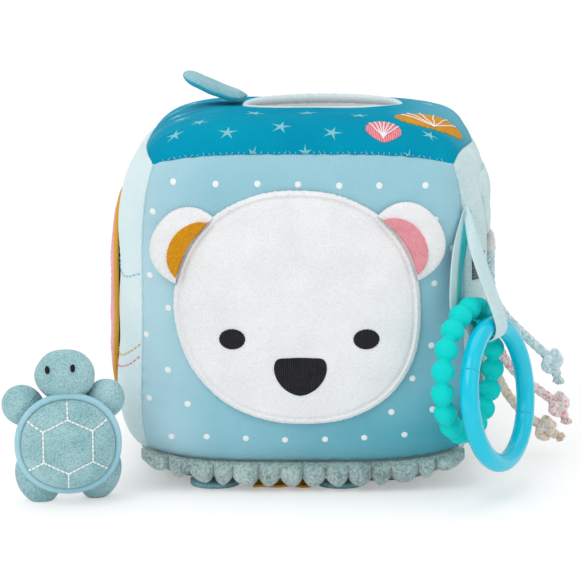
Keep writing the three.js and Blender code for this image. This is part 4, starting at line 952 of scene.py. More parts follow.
def satin_stitch(name, yarn, shade, thread, turn=(0, 0, 0)):
    """Satin stitch: fine bright threads side by side, darker where they meet."""
    finish = Finish(name, 0.6, 0.03, 0.2)
    across = finish.node("Mapping", {"Vector": finish.place, "Rotation": turn})
    threads = finish.node("TexWave", {"Vector": across, "Scale": thread / 6.28, "Distortion": 3.6,
                                      "Detail": 2.0, "Detail Scale": 1.2}, "Fac")
    share = finish.ramp(finish.math("MULTIPLY", threads, finish.noise(420.0, 3.0)), 0.1, 0.5)
    return finish.surface(finish.mix(share, tint(shade), tint(yarn)), threads, 0.00025)


def outside_head(x, z, gap):
    """Moves places that lie on the head out to its edge, grown by a gap."""
    for _ in range(3):
        across, above = x - head_x - chin_shift(z), z - head_z
        share = reach_of(across, above, head_half_width + gap, head_half_height + gap, head_power)
        push = np.maximum(1 / np.maximum(share, 0.2), 1)
        x, z = head_x + chin_shift(z) + across * push, head_z + above * push
    return x, z


def ear_outline(middle, out_half, along_half, turn, power, count, gap):
    """The outline of an ear or its patch, which the head's edge cuts off."""
    a, b = turned(*round_edge(out_half, along_half, power, full_turn(count)), turn)
    return outside_head(middle[0] + a, middle[1] + b, gap)


for side, ear in ears.items():
    root = np.array([ear["x"], ear["z"]])
    out = unit(root - [head_x, head_z])
    seat = front_at(*root, seat_gap)[1]

    def ear_at(x, z, rise, root=root, out=out, seat=seat):
        """A point of the ear, which leans back outwards from the head."""
        return xyz(x, seat + ear_slope * ((x - root[0]) * out[0] + (z - root[1]) * out[1]) - rise, z)

    middle = root + out * ear_middle
    outline = ear_outline(root, ear["out"], ear["along"], ear["turn"], ear_power, ear_steps, ear_gap)
    fluff = 1 + ear_fluff * waves(np.linspace(0, 0.1, ear_steps), 0.0017, 93)
    edge_x, edge_z = (at + (side_edge - at) * fluff for at, side_edge in zip(middle, outline))
    plush = pad(f"{side}_ear_plush", outside_head(edge_x, edge_z, ear_gap), middle, 60,
                lambda x, z, share: ear_at(x, z, crown_rise(ear_pad, ear_rim, share)
                                           + ear_dimple * dimples(x, z, 0.014, 94) * (1 - share**4)),
                lambda x, z: ear_at(x, z, 0.0), (0.03, 0.1), white_plush, None, f"bear_ear_{side}",
                "white_plush")

    patch_root = root - out * ear["out"] * patch_inward
    outline = ear_outline(patch_root, ear["out"] * patch_out, ear["along"] * patch_along, ear["turn"], 2.0,
                          patch_steps, ear_gap + patch_gap)
    thread = satin_stitch(f"{side}_ear_thread", ear["yarn"], ear["shade"], 2200.0, (0, ear["turn"], 0))
    ripple = patch_ripple * np.cos(90 * full_turn(patch_steps))
    patch = pad(f"{side}_ear_stitching", outline, patch_root + out * patch_middle, 40,
                lambda x, z, share: ear_at(x, z, ear_pad - patch_sink
                                           + crown_rise(stitch_pad, stitch_rim, share)
                                           - patch_valley * ridge((share - 0.5) * 0.012, 0.0009)
                                           + ripple * share),
                lambda x, z: ear_at(x, z, ear_pad - patch_back), (0.02, 0.07), thread, None,
                f"ear_patch_{side}", ear["slot"])
    seam_point, seam_out = xyz(root[0], seat, root[1]), xyz(out[0], 0.0, out[1])
    for piece in (plush, patch):
        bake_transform(piece)

# Eyes and nose are satin stitch in black thread, sewn through the head's plush.
eyes = {"left": (-0.0326, 0.0764), "right": (0.0292, 0.0764)}
eye_half_width, eye_half_height, eye_steps, eye_ragged = 0.006, 0.0047, 90, 0.02
stitch_sink, stitch_back = 0.0003, 0.0008
nose_x, nose_top, nose_half_width, nose_height = -0.0012, 0.0676, 0.0122, 0.0174
nose_shares = [(0, -0.01), (0.4, 0), (0.86, 0.04), (1, 0.26), (0.9, 0.56), (0.62, 0.82), (0.28, 0.97),
               (0, 1.02)]
black_thread = satin_stitch("black_thread", (44, 42, 46), (14, 13, 16), 2200.0)


def stitching(name, edge, middle, at, rows, lengths, finish, node, slot):
    """Satin stitch over an outline, on the surface that at(a, b, rise) gives."""
    pad(name, edge, middle, rows,
        lambda a, b, share: at(a, b, crown_rise(stitch_pad, stitch_rim, share) - stitch_sink),
        lambda a, b: at(a, b, -stitch_back), lengths, finish, "block", node, slot)


for side, (x, z) in eyes.items():
    ragged = 1 + eye_ragged * waves(np.linspace(0, 0.03, eye_steps), 0.0012, 95)
    edge_a, edge_b = round_edge(eye_half_width, eye_half_height, 2.0, full_turn(eye_steps))
    stitching(f"{side}_eye_stitching", (x + edge_a * ragged, z + edge_b * ragged), (x, z), head_at, 24,
              (0.01, 0.03), black_thread, f"bear_eye_{side}", "black_stitching")

right_half = smooth_path([(a, -d, 0) for a, d in nose_shares], 70)[:, :2]
outline = np.concatenate([right_half, right_half[-2:0:-1] * [-1, 1]])
edge_a, edge_b = nose_x + outline[:, 0] * nose_half_width, nose_top + outline[:, 1] * nose_height
stitching("nose_stitching", (edge_a, edge_b), (nose_x, nose_top - 0.45 * nose_height), head_at, 36,
          (0.02, 0.06), black_thread, "bear_nose", "black_stitching")

# Two stitched scallop shells lie on the top: a fan of threads with pale ribs that spread from its hinge.
# A hinge and a rib's tip are given in shares of the fan's half width and half length.
shells = {
    "pink_shell": {"x": 0.0376, "y": -0.063, "half_width": 0.0084, "half_length": 0.0076,
                   "turn": np.radians(-4), "yarn": (246, 166, 176), "shade": (226, 112, 128),
                   "slot": "rose_stitching", "hinge": (0, -0.8),
                   "tips": [(0.82 * lean, 0.78 - 0.35 * lean**2) for lean in np.linspace(-1, 1, 7)]},
    "ochre_shell": {"x": 0.06, "y": -0.043, "half_width": 0.009, "half_length": 0.0166,
                    "turn": np.radians(102), "yarn": (232, 166, 10), "shade": (206, 136, 0),
                    "slot": "ochre_stitching", "hinge": (-0.88, 0),
                    "tips": [(0.78 * np.cos(spread), 0.82 * np.sin(spread))
                             for spread in np.radians(np.linspace(-74, 74, 6))]},
}
fan_drawn, scallop_depth, scallop_inset = 0.3, 0.035, 0.015
rib_radius, rib_sway, rib_sink = 0.0003, 0.0003, 0.0001


def top_at(x, y, rise=0.0):
    """A point over the top's cloth at x and y."""
    return cloth_at("top", *top_lengths(x, y), rise)


rib_thread = plain_thread("white_thread", (250, 246, 244), (236, 228, 226))
for shell_name, shell in shells.items():
    size = np.array([shell["half_width"], shell["half_length"]])

    def on_shell(a, b, shell=shell):
        """A place on the top from a place on the fan, whose own length runs from hinge to edge."""
        a = a * (1 - fan_drawn * np.maximum(0, -b / shell["half_length"]) ** 2)
        a, b = turned(a, b, shell["turn"])
        return shell["x"] + a, shell["y"] + b

    turns = full_turn(168)
    a, b = round_edge(*size, 2.0, turns)
    scallop = scallop_depth * np.abs(np.sin(turns * 7)) * (b > -0.3 * shell["half_length"])
    scallop = 1 + scallop - scallop_inset
    thread = satin_stitch(f"{shell_name}_thread", shell["yarn"], shell["shade"], 1900.0,
                          (0, 0, shell["turn"]))
    stitching(f"{shell_name}_stitching", on_shell(a * scallop, b * scallop), (shell["x"], shell["y"]),
              top_at, 30, (0.02, 0.06), thread, shell_name, shell["slot"])
    rib_grids = []
    steps = np.linspace(0, 1, 26)
    hinge = shell["hinge"] * size
    for k, tip in enumerate(shell["tips"]):
        rib = hinge + (tip * size - hinge) * steps[:, None]
        rib_x, rib_y = on_shell(rib[:, 0], rib[:, 1] + rib_sway * np.sin(steps * 9 + k))
        rib_path = top_at(rib_x, rib_y, stitch_pad - rib_sink)
        rib_grids.append((tube(rib_path, rib_radius, 8, (0.1, 0.2, 1.0)), (0.02, 0.003)))
    sewn_piece(f"{shell_name}_ribs", rib_grids, rib_thread, "block", slot=shell["slot"])

# The fin is a flat stuffed tongue of turtle cloth with a teal underside. It is sewn in beside the pocket
# and springs up to the left when it is pressed down.
fin = {"x": -0.032, "y": 0.004, "turn": np.radians(13), "width": 0.026, "cloth": 0.006, "reach": 0.0295,
       "root": 0.0025, "root_share": 0.16, "root_width": 0.75, "root_thick": 0.12, "lift": 0.012,
       "roll": 0.0004, "drawn": 0.14, "seam": 0.0003, "dimple": 0.0002}
fin_share, fin_turn = np.sin(np.linspace(0, np.pi / 2, 60))[:, None], full_turn(80)[None, :]
fin_across = np.array([np.sin(fin["turn"]), np.cos(fin["turn"]), 0.0])
fin_seat = on_block("top", *top_lengths(fin["x"], fin["y"])) + [fin["root"], 0, seat_gap + fin["cloth"] / 2]
from_root = np.minimum(1, fin_share / fin["root_share"])
fin_width = (np.sqrt(np.maximum(0, 1 - fin_share**5)) * (1 - fin["drawn"] * (1 - fin_share))
             * (fin["root_width"] + (1 - fin["root_width"]) * from_root))
fin_thick = (np.sqrt(np.maximum(0, 1 - fin_share**8))
             * (fin["root_thick"] + (1 - fin["root_thick"]) * np.sqrt(1 - (1 - from_root) ** 2)))
fin_seam = fin["seam"] * ridge(np.sin(fin_turn), 0.18) * fin_thick
fin_wide = np.cos(fin_turn) * (fin["width"] * fin_width / 2 + fin_seam)
fin_high = (np.sign(np.sin(fin_turn)) * np.abs(np.sin(fin_turn)) ** 0.8 * fin["cloth"] * fin_thick / 2
            + np.cos(fin_turn) * fin["roll"] * fin_share + fin["lift"] * fin_share**1.35)
fin_points = fin_seat + fin_wide[..., None] * fin_across + xyz(-fin["reach"] * fin_share, 0.0, fin_high)
fin_points[..., 2] += fin["dimple"] * dimples(fin_points[..., 0], fin_points[..., 1], 0.012, 96)
two_faced = terry("two_faced_terry", (150, 200, 210), (104, 166, 182), loop=1400.0)
two_faced.cover(two_faced.ramp(two_faced.axis("X", "UV"), 0.0272, 0.0288), tint((0, 164, 186)))
fin_piece = sewn_piece("fin_terry_tongue", [(capped(fin_points, (0,)), (0.03, 0.06))], two_faced, "top_fin",
                       ["top_fin"], "turtle_terry")

# The left side carries three lines of running stitch that hang like waves, and over them a padded flap:
# teal lining, printed rose pad and an ochre binding round its edge. The flap is sewn on along its back.
waves_of_stitches = {
    "blue": ((132, 196, 226), "dotted_blue_cloth", [
        (-0.0745, 0.1026), (-0.0655, 0.0998), (-0.056, 0.1012), (-0.045, 0.104), (-0.036, 0.115),
        (-0.02, 0.112), (0.0, 0.104), (0.02, 0.112), (0.04, 0.104), (0.058, 0.1), (0.0735, 0.104)]),
    "ochre": ((244, 184, 92), "ochre_stitching", [
        (-0.0748, 0.069), (-0.0695, 0.0647), (-0.0616, 0.0612), (-0.052, 0.0602), (-0.04, 0.063),
        (-0.02, 0.07), (0.0, 0.064), (0.02, 0.07), (0.04, 0.063), (0.058, 0.061), (0.074, 0.069)]),
    "pink": ((242, 132, 150), "rose_stitching", [
        (-0.0748, 0.063), (-0.0693, 0.0583), (-0.061, 0.0554), (-0.052, 0.0542), (-0.0385, 0.0565),
        (-0.02, 0.063), (0.0, 0.058), (0.02, 0.063), (0.04, 0.057), (0.058, 0.055), (0.074, 0.063)]),
}
stitch_arch, stitch_dip, thread_shade = 1.3, 0.7, 0.92


def running_stitch(name, path, outwards_way, colour, body, slot, length=0.0021, space=0.0012,
                   radius=0.00028):
    """Separate stitches along a path: each is a short thread that dips into the cloth at both ends."""
    total = path_length(path)
    arch = np.sin(np.linspace(0, np.pi, 9))[:, None]
    grids = []
    for start in np.linspace(0.0, total - length, max(1, int((total + space) / (length + space)))):
        points = at_lengths(path, start + np.linspace(0, length, 9))
        points = points + outwards_way * (arch * stitch_arch - stitch_dip) * radius
        grids.append((tube(points, radius, 8, (0.37, 0.21, 0.13)), (length, 0.001)))
    thread = plain_thread(name + "_thread", colour, tuple(int(thread_shade * c) for c in colour))
    sewn_piece(name, grids, thread, body, slot=slot)


leftwards = np.array([-1.0, 0, 0])
for line_name, (colour, slot_name, places) in waves_of_stitches.items():
    line = smooth_path([(0, y, z) for y, z in places], 500)
    line_u, line_w = divided(-line[:, 1] / flare(line[:, 2]), level_of(line[:, 2]))
    running_stitch(f"{line_name}_wave", cloth_at("left", line_u, line_w, 0.0001), leftwards, colour,
                   "block", slot_name)

flap_y, flap_z, flap_half_width, flap_half_height, flap_power = 0.003, 0.082, 0.047, 0.0475, 2.3
flap_lining, flap_height, flap_rim, flap_binding = 0.0008, 0.0041, 0.001, 0.0013
flap_dimple, flap_oval_share = 0.0003, 0.83
quilting_inset, quilting_depth, quilting_width, quilting_sink = 0.006, 0.0006, 0.0012, 0.0003
flap_turns = full_turn(240)


def flap_edge(grow):
    """The flap's outline, grown by a length."""
    a, b = round_edge(flap_half_width + grow, flap_half_height + grow, flap_power, flap_turns)
    return flap_y + a, flap_z + b


def flap_pad_rise(y, z, share):
    """The flap pad's height, with its dimples and the groove of its quilting."""
    return (2 * seat_gap + flap_lining + crown_rise(flap_height, flap_rim, share)
            + flap_dimple * dimples(y, z, 0.02, 101) * (1 - share**4)
            - quilting_depth * ridge((1 - share) * flap_half_width - quilting_inset, quilting_width))


lining = pad("flap_lining_cloth", flap_edge(0.0), (flap_y, flap_z), 30,
             lambda y, z, share: left_at(y, z, seat_gap + flap_lining),
             lambda y, z: left_at(y, z, seat_gap), (0.05, 0.3),
             brushed_cloth("teal_lining", (20, 150, 182), (4, 128, 164), sheen=0.1), "side_flap",
             "flap_lining", "starred_teal_cloth")
pad("flap_pad_cloth", flap_edge(0.0), (flap_y, flap_z), 80,
    lambda y, z, share: left_at(y, z, flap_pad_rise(y, z, share)),
    lambda y, z: left_at(y, z, 2 * seat_gap + flap_lining), (0.1, 0.3),
    speckled_cloth("rose_print", (240, 158, 168), (228, 136, 150), (252, 214, 216)), "side_flap",
    "flap_pad", "rose_cloth")
bind_path = left_at(*flap_edge(seat_gap + flap_binding), seat_gap + flap_binding)
bind_relief = flap_binding * (0.96 + 0.05 * waves(flap_turns * 0.048, 0.004, 102))[:, None]
ochre_bias = brushed_cloth("ochre_bias", (228, 172, 62), (208, 148, 40), nap=1500.0, sheen=0.1)
sewn_piece("flap_bias_binding", [(tube(bind_path, bind_relief, 18, (1.0, 0.0, 0.0), closed=True),
                                  (0.3, 0.0107), (True, True))], ochre_bias, "side_flap",
           ["flap_binding"], "ochre_cloth")
quilting_rise = (2 * seat_gap + flap_lining - quilting_sink
                 + crown_rise(flap_height, flap_rim, 1 - quilting_inset / flap_half_width))
quilting = left_at(*flap_edge(-quilting_inset), quilting_rise)
running_stitch("flap_quilting", np.concatenate([quilting, quilting[:1]]), leftwards, (246, 226, 222),
               "side_flap", "rose_cloth")

# The frill is a strip of crushed plush, gathered into round lobes and sewn into the seam along the front of
# the base. Its two ends turn round the corners.
frill_lobes, frill_drop, frill_depth, frill_cloth = 14, 0.0112, 0.0064, 0.0016
frill_valley, frill_corner, frill_gap = 0.0042, 0.004, 0.0006
frill_crush, frill_wrap, frill_uneven, frill_tuck = 0.0008, 0.0028, 0.25, 0.0003


def frill_surface(front):
    """The frill's front or back. Each lobe swells as a sine over its fall, and its foot rises between
    lobes and towards the corners."""
    u, share = np.meshgrid(np.linspace(-seam_end, seam_end, frill_lobes * 26 + 1), np.linspace(0, 1, 40),
                           indexing="ij")
    phase = (u + 1) / 2 * frill_lobes * np.pi + frill_uneven * waves(u * 0.07, 0.024, 111)
    lobe = np.abs(np.sin(phase)) ** 0.7
    seam = on_block("front", u, -np.ones_like(u))
    fall = frill_drop - frill_valley * (1 - lobe) - frill_corner * np.abs(u) ** 3
    swell = frill_depth * lobe * np.sin(np.pi * (0.03 + 0.89 * share)) ** 0.8
    crush = frill_crush * dimples(u * 0.07, share * 0.011, 0.0045, 112) * np.sin(np.pi * share)
    wrap = frill_wrap * np.sign(u) * np.abs(u) ** 24
    out = frill_gap + front * (frill_cloth * np.minimum(1, 0.1 + share / 0.15) + swell + crush)
    return xyz(seam[..., 0] + wrap, seam[..., 1] - out,
               np.maximum(seam[..., 2] - frill_tuck - fall * share, seat_gap))


frill_skin = capped(np.concatenate([frill_surface(1.0), frill_surface(0.0)[:, ::-1]], axis=1))
crushed_plush = terry("crushed_plush", (192, 212, 209), (112, 138, 137), loop=800.0, depth=0.0006,
                      sheen=0.5)
frill = sewn_piece("gathered_frill", [(frill_skin, (0.3, 0.03))], crushed_plush, "block", ["base_frill"],
                   "sea_green_plush")

# Two padded tabs and a folded ochre tag lie on the surface in front of the base, sewn into the same seam.
tab_half_width, tab_reach, tab_root = 0.012, 0.0127, -0.0672
tab_pad, tab_rim, tab_dimple = 0.003, 0.0016, 0.0002
tag = {"x": -0.0092, "width": 0.029, "cloth": 0.0011, "root": -0.066, "reach": 0.012, "rise": 0.0018,
       "wave": 0.0004, "buckle": 0.00025}
tag_clear = {"left": 0.0063, "right": 0.0007}
tab_terry = terry("tab_terry", (150, 200, 210), (104, 166, 182), loop=1400.0)
for side, way in (("left", -1), ("right", 1)):
    x = tag["x"] + way * (tag["width"] / 2 + tag_clear[side] + tab_half_width)
    a, b = round_edge(tab_half_width, tab_reach, 2.3, full_turn(120))
    pad(f"{side}_tab_terry", (x + a, np.minimum(tab_root + b, tab_root)), (x, tab_root - tab_reach / 2), 40,
        lambda p, q, share: xyz(p, q, crown_rise(tab_pad, tab_rim, share)
                                + tab_dimple * dimples(p, q, 0.008, 121)),
        lambda p, q: xyz(p, q, 0), (0.02, 0.07), tab_terry, "block", f"base_tab_{side}", "turtle_terry")


def slab(name, surface, cloth, lengths, finish, body, node, slot):
    """A strip of cloth: surface(rise) gives its two faces, joined round all four edges."""
    outer, inner = surface(cloth), surface(0.0)
    rows = outer.shape[0]
    order = np.r_[0:rows, rows - 1:-1:-1]
    middle = ((outer + inner) / 2)[order]
    grid = np.concatenate([middle[:, :1], np.concatenate([outer, inner[::-1]]), middle[:, -1:]], axis=1)
    return sewn_piece(name, [(grid, lengths, (True, False))], finish, body, [node], slot)


def tag_surface(rise):
    """The tag falls from the seam to the surface, and buckles a little across its width."""
    share, across = np.linspace(0, 1, 50)[:, None], np.linspace(-1, 1, 60)[None, :]
    y = tag["root"] - tag["reach"] * share + tag["wave"] * np.cos(across * 5) * share
    z = tag["rise"] * np.maximum(0, 1 - share / 0.6) + tag["buckle"] * (1 + np.sin(across * 7)) * share
    return xyz(tag["x"] + across * tag["width"] / 2, y, z + rise)


folded_tag = slab("folded_tag", tag_surface, tag["cloth"], (0.024, 0.029),
                  brushed_cloth("bright_ochre", (255, 184, 60), (238, 146, 20), nap=700.0, sheen=0.0),
                  "block", "base_tag", "ochre_cloth")

# On the right side a bell-shaped pad of terry hangs from the top, with a trim of white plush under it that
# hides where the ropes are sewn in, and a plain grey tape tag that nothing is printed on.
bell = {"y": -0.002, "z": 0.1306, "half_width": 0.052, "half_height": 0.0166, "power": 4.5, "taper": 0.16,
        "pad": 0.0022, "rim": 0.0002, "under": -0.001, "pitch": 0.02, "seed": 131}
trim = {"y": -0.004, "half_width": 0.034, "half_height": 0.0042, "power": 4, "taper": 0.0,
        "pad": 0.0044, "rim": 0.0038, "under": seat_gap, "pitch": 0.006, "seed": 132}
trim["z"] = bell["z"] - bell["half_height"] - seat_gap - trim["half_height"]
side_dimple = 0.0003
side_tag = {"front": -0.072, "reach": 0.0096, "z": 0.1056, "height": 0.0124, "cloth": 0.0009}


def side_pad(name, shape, rows, lengths, finish, node, slot):
    """A pad on the right side, wider towards its top by its taper, with dimples in its crown."""
    a, b = round_edge(shape["half_width"], shape["half_height"], shape["power"], full_turn(220))
    a = a * (1 + shape["taper"] * b / shape["half_height"])
    pad(name, (shape["y"] + a, shape["z"] + b), (shape["y"], shape["z"]), rows,
        lambda y, z, share: right_at(y, z, seat_gap + crown_rise(shape["pad"], shape["rim"], share)
                                     + side_dimple * dimples(y, z, shape["pitch"], shape["seed"])),
        lambda y, z: right_at(y, z, shape["under"]), lengths, finish, "block", node, slot)


def woven_tape(name, light, dark, pitch=1400.0):
    """Woven tape: fine cross ribs."""
    finish = Finish(name, 0.75, 0.1)
    ribs = finish.node("TexWave", {"Vector": finish.place, "Scale": pitch / 6.28, "Distortion": 0.4}, "Fac",
                       bands_direction="Z")
    share = finish.math("MULTIPLY", ribs, finish.noise(500.0, 3.0))
    return finish.surface(finish.mix(share, tint(dark), tint(light)), ribs, 0.00012)


def tape_surface(rise):
    """The tape tag lies along the side from the front seam backwards."""
    share, across = np.linspace(0, 1, 40)[:, None], np.linspace(-1, 1, 40)[None, :]
    return right_at(side_tag["front"] + side_tag["reach"] * share,
                    side_tag["z"] + across * side_tag["height"] / 2, seat_gap + rise)


side_pad("bell_terry_pad", bell, 60, (0.05, 0.2), terry("bell_terry", (217, 238, 239), (182, 213, 216)),
         "rope_bell", "pale_terry")
side_pad("plush_trim", trim, 40, (0.02, 0.14),
         terry("flecked_plush", (246, 246, 246), (228, 214, 216), loop=1200.0), "bell_trim", "white_plush")
slab("tape_tag", tape_surface, side_tag["cloth"], (0.0192, 0.0124),
     woven_tape("slate_tape", (124, 136, 134), (84, 94, 92)), "side_tag", "side_tag", "slate_tape")

# A ring of eighteen silicone beads that run into each other, and a smooth glossy hoop made of two halves
# that peg together. Both hang from the ribbon in planes that run forwards and to the left.
ring_along = unit(np.array([0.4695, 0.8829, 0.0]))
ring_out = unit(np.array([0.8829, -0.4695, 0.0]))
up = np.array([0.0, 0.0, 1.0])
bead_centre, bead_ring = np.array([0.0767, -0.092, 0.0605]), 0.0291
bead_radius, bead_neck, bead_count = 0.0054, 0.003, 18
hoop_centre, hoop_ring, hoop_tube = np.array([0.0905, -0.0942, 0.0499]), 0.0319, 0.00435
hoop_lean, hoop_play, hoop_rounding, rounding_reach = np.radians(8), 0.00006, 0.00006, 0.0001
hoop_up = up * np.cos(hoop_lean) - ring_out * np.sin(hoop_lean)
hoop_out = ring_out * np.cos(hoop_lean) + up * np.sin(hoop_lean)


def ring_points(centre, rise, out, radius, angles, tube_radius):
    """A tube round a ring, at the given angles. Its radius is one number or one for each angle."""
    angle, turn = np.meshgrid(angles, full_turn(40), indexing="ij")
    thick = np.broadcast_to(tube_radius, angles.shape)[:, None]
    reach = radius + thick * np.cos(turn)
    radial = ring_along * np.cos(angle)[..., None] + rise * np.sin(angle)[..., None]
    return centre + radial * reach[..., None] + out * (thick * np.sin(turn))[..., None]


bead_angles, bead_pitch = full_turn(bead_count * 24), 2 * np.pi / bead_count
off = ((bead_angles / bead_pitch + 1e-9) % 1 - 0.5) * bead_pitch * bead_ring
bead_tube = np.sqrt(np.maximum(bead_radius**2 - off**2, bead_neck**2))
silicone = moulded_finish("turquoise_silicone", (0, 218, 212), 0.55, 300.0, 0.00004, 0.0, 0.15)
sewn_piece("silicone_beads", [(ring_points(bead_centre, up, ring_out, bead_ring, bead_angles, bead_tube),
                               (0.18, 0.03), (True, True))], silicone, "bead_ring", ["bead_ring"],
           "turquoise_silicone")
hoop_plastic = moulded_finish("glossy_plastic", (0, 204, 232), 0.2, 120.0, 0.00002, 0.2, 0.35)
for half, start in (("pegged", 150), ("socket", 330)):
    half_play = hoop_play / hoop_ring / 2
    arc = np.radians(start) + np.linspace(half_play, np.pi - half_play, 161)
    from_end = np.minimum(arc - arc[0], arc[-1] - arc) * hoop_ring
    half_tube = hoop_tube - hoop_rounding * np.exp(-from_end / rounding_reach)
    half_grid = capped(ring_points(hoop_centre, hoop_up, hoop_out, hoop_ring, arc, half_tube))
    sewn_piece(f"hoop_{half}_shell", [(half_grid, (0.1, 0.027))], hoop_plastic, "hoop",
               [f"hoop_{half}_half"], "hoop_plastic")

# The ribbon is a narrow aqua tape sewn into the corner below the top. It runs down through the bead ring
# and the hoop and back up, both strands in the same seam, and widens to its full 13 mm where it hangs
# free. Its inner face has a painted teal reflection of the rings.
ribbon = {"width": 0.013, "sewn": 0.004, "cloth": 0.0011, "z": 0.1345, "stand_off": 0.0027, "play": 0.0007,
          "spread_by": 0.72, "twist": 0.6, "cup": 0.0023}
seam_w = level_of(np.array([ribbon["z"]])) / half_corner
corner_way = unit(np.array([1.0, -1.0, 0]))
anchor = on_block("front", np.array([1.0]), seam_w)[0] + corner_way * ribbon["stand_off"]


def dip(ring):
    """How far a ring's inside falls away under half of the ribbon's width."""
    return ring - np.sqrt(ring**2 - (ribbon["width"] / 2) ** 2)


def offset(point, out, rise, forward=0.0):
    """A point moved outwards, up and forwards in the rings' own directions."""
    return point + ring_out * out + up * rise - ring_along * forward


def closed_curve(points, count):
    """A centripetal Catmull-Rom spline through a loop of points, evenly spaced along its length."""
    p = np.asarray(points)
    last, after, beyond = np.roll(p, 1, axis=0), np.roll(p, -1, axis=0), np.roll(p, -2, axis=0)
    s0, s1, s2 = (np.sqrt(np.linalg.norm(b - a, axis=1))[:, None]
                  for a, b in ((last, p), (p, after), (after, beyond)))
    leave = ((p - last) / s0 - (after - last) / (s0 + s1) + (after - p) / s1) * s1
    arrive = ((after - p) / s1 - (beyond - p) / (s1 + s2) + (beyond - after) / s2) * s1
    t = np.linspace(0, 1, 60, endpoint=False)[None, :, None]
    spans = ((2 * t**3 - 3 * t**2 + 1) * p[:, None] + (t**3 - 2 * t**2 + t) * leave[:, None]
             + (-2 * t**3 + 3 * t**2) * after[:, None] + (t**3 - t**2) * arrive[:, None]).reshape(-1, 3)
    ring = np.concatenate([spans, spans[:1]])
    return at_lengths(ring, np.linspace(0, path_length(ring), count, endpoint=False))


bead_side = bead_radius + ribbon["cloth"] / 2 + ribbon["play"]
hoop_side = hoop_tube + ribbon["cloth"] / 2 + ribbon["play"]
bead_hang, hoop_hang = bead_side + dip(bead_ring), hoop_side + dip(hoop_ring)
bead_top = bead_centre + up * bead_ring
hoop_top = hoop_centre + hoop_up * hoop_ring
root_two = np.sqrt(0.5)
centre_line = closed_curve([
    offset(anchor, -ribbon["cloth"], -2 * ribbon["cloth"]),
    offset((anchor + bead_top) / 2, -0.55 * bead_hang, 0, 0.0028),
    offset(bead_top, -bead_side, 0),
    offset(bead_top, -root_two * bead_side, -root_two * bead_hang),
    offset(bead_top, 0, -bead_hang),
    offset((bead_top + hoop_top) / 2, 0, -bead_hang - 0.0024),
    offset(hoop_top, 0, -hoop_hang),
    offset(hoop_top, root_two * hoop_side, -root_two * hoop_hang),
    offset(hoop_top, hoop_side, 0),
    offset((anchor + hoop_top) / 2, 0.4 * hoop_hang, 0, 0.0014),
    offset(anchor, ribbon["cloth"], -2 * ribbon["cloth"]),
    anchor,
], 420)
tangent = unit(np.roll(centre_line, -1, axis=0) - np.roll(centre_line, 1, axis=0))
spread = np.clip((anchor[2] - centre_line[:, 2]) / (ribbon["spread_by"] * (anchor[2] - bead_top[2])), 0, 1)
spread = (spread**2 * (3 - 2 * spread))[:, None]
way = unit(ring_along + ring_out * ribbon["twist"] * (1 - spread))
across = unit(way - tangent * np.sum(tangent * way, axis=1)[:, None])
thick = np.cross(tangent, across)
wide = np.linspace(-1, 1, 25)
half_width = (ribbon["sewn"] + (ribbon["width"] - ribbon["sewn"]) * spread) / 2
cup = ribbon["cup"] * (1 - spread) * wide**2
edge = ribbon["cloth"] / 2 * np.sqrt(np.clip(1 - np.abs(wide) ** 12, 0, 1)) * 0.9
faces = [centre_line[:, None] + across[:, None] * (wide * half_width)[..., None]
         + thick[:, None] * (side * edge + cup)[..., None] for side in (-1, 1)]
band_ring = np.concatenate([faces[0], faces[1][:, ::-1]], axis=1)
ribbon_cloth = woven_tape("aqua_ribbon", (222, 242, 245), (200, 228, 233), 3200.0)
# The inner face's band gets a painted teal reflection of the rings.
ribbon_across = ribbon_cloth.axis("X", "UV")
painted_ring_reflection = ribbon_cloth.math("MULTIPLY", ribbon_cloth.ramp(ribbon_across, 0.0109, 0.0111),
                               ribbon_cloth.ramp(ribbon_across, 0.0168, 0.0148))
ribbon_cloth.cover(painted_ring_reflection, tint((40, 192, 196)))
band = sewn_piece("ribbon_band", [(band_ring, (0.16, 0.022), (True, True))], ribbon_cloth, "ribbon",
                  ["ribbon_loop"], "aqua_ribbon")

# The turtle is a stuffed terry toy that stands by the block: a quilted shell with piping round it, a belly
# behind, a round head with two stitched eyes, and four paws. It has its own body.
turtle_turn, turtle_at = np.radians(7), np.array([-0.1084, -0.103])
turtle_terry = terry("turtle_terry", (176, 212, 216), (108, 162, 168), depth=0.0003)


def on_turtle(x, y, z):
    """From the turtle's own frame to the object's: turned about the vertical, then moved."""
    across, back = turned(x, y, turtle_turn)
    return xyz(turtle_at[0] + across, turtle_at[1] + back, z)


def ball_grid(centre, half, degrees, relief):
    """A stuffed paw or head: a turned ellipsoid, its lower points held on the surface."""
    down, around = np.meshgrid(np.linspace(0, np.pi, 60), full_turn(100), indexing="ij")
    swell = 1 + relief * dimples(around * 0.01, down * 0.01, 0.014, int(centre[2] * 1000))
    x, z = turned(half[0] * np.sin(down) * np.cos(around) * swell,
                  half[2] * np.sin(down) * np.sin(around) * swell, np.radians(degrees))
    return on_turtle(centre[0] + x, centre[1] + half[1] * np.cos(down) * swell,
                     np.maximum(centre[2] + z, 0.0))


turtle_limbs = {
    "head": ((-0.0008, 0.0032, 0.060), (0.0138, 0.010, 0.0122), 0),
    "arm_left": ((-0.0204, 0.0062, 0.0456), (0.010, 0.0072, 0.0093), 141),
    "arm_right": ((0.0172, 0.0062, 0.0474), (0.010, 0.0072, 0.009), 47),
    "leg_left": ((-0.0144, 0.0062, 0.0112), (0.0134, 0.0072, 0.0098), 112),
    "leg_right": ((0.0148, 0.009, 0.0114), (0.0132, 0.0072, 0.0094), 68),
}
for limb, (centre, half, degrees) in turtle_limbs.items():
    stuffed = sewn_piece(f"stuffed_{limb}", [(ball_grid(centre, half, degrees, 0.012), (0.03, 0.07))],
                         turtle_terry, "turtle", [f"turtle_{limb}"], "turtle_terry")

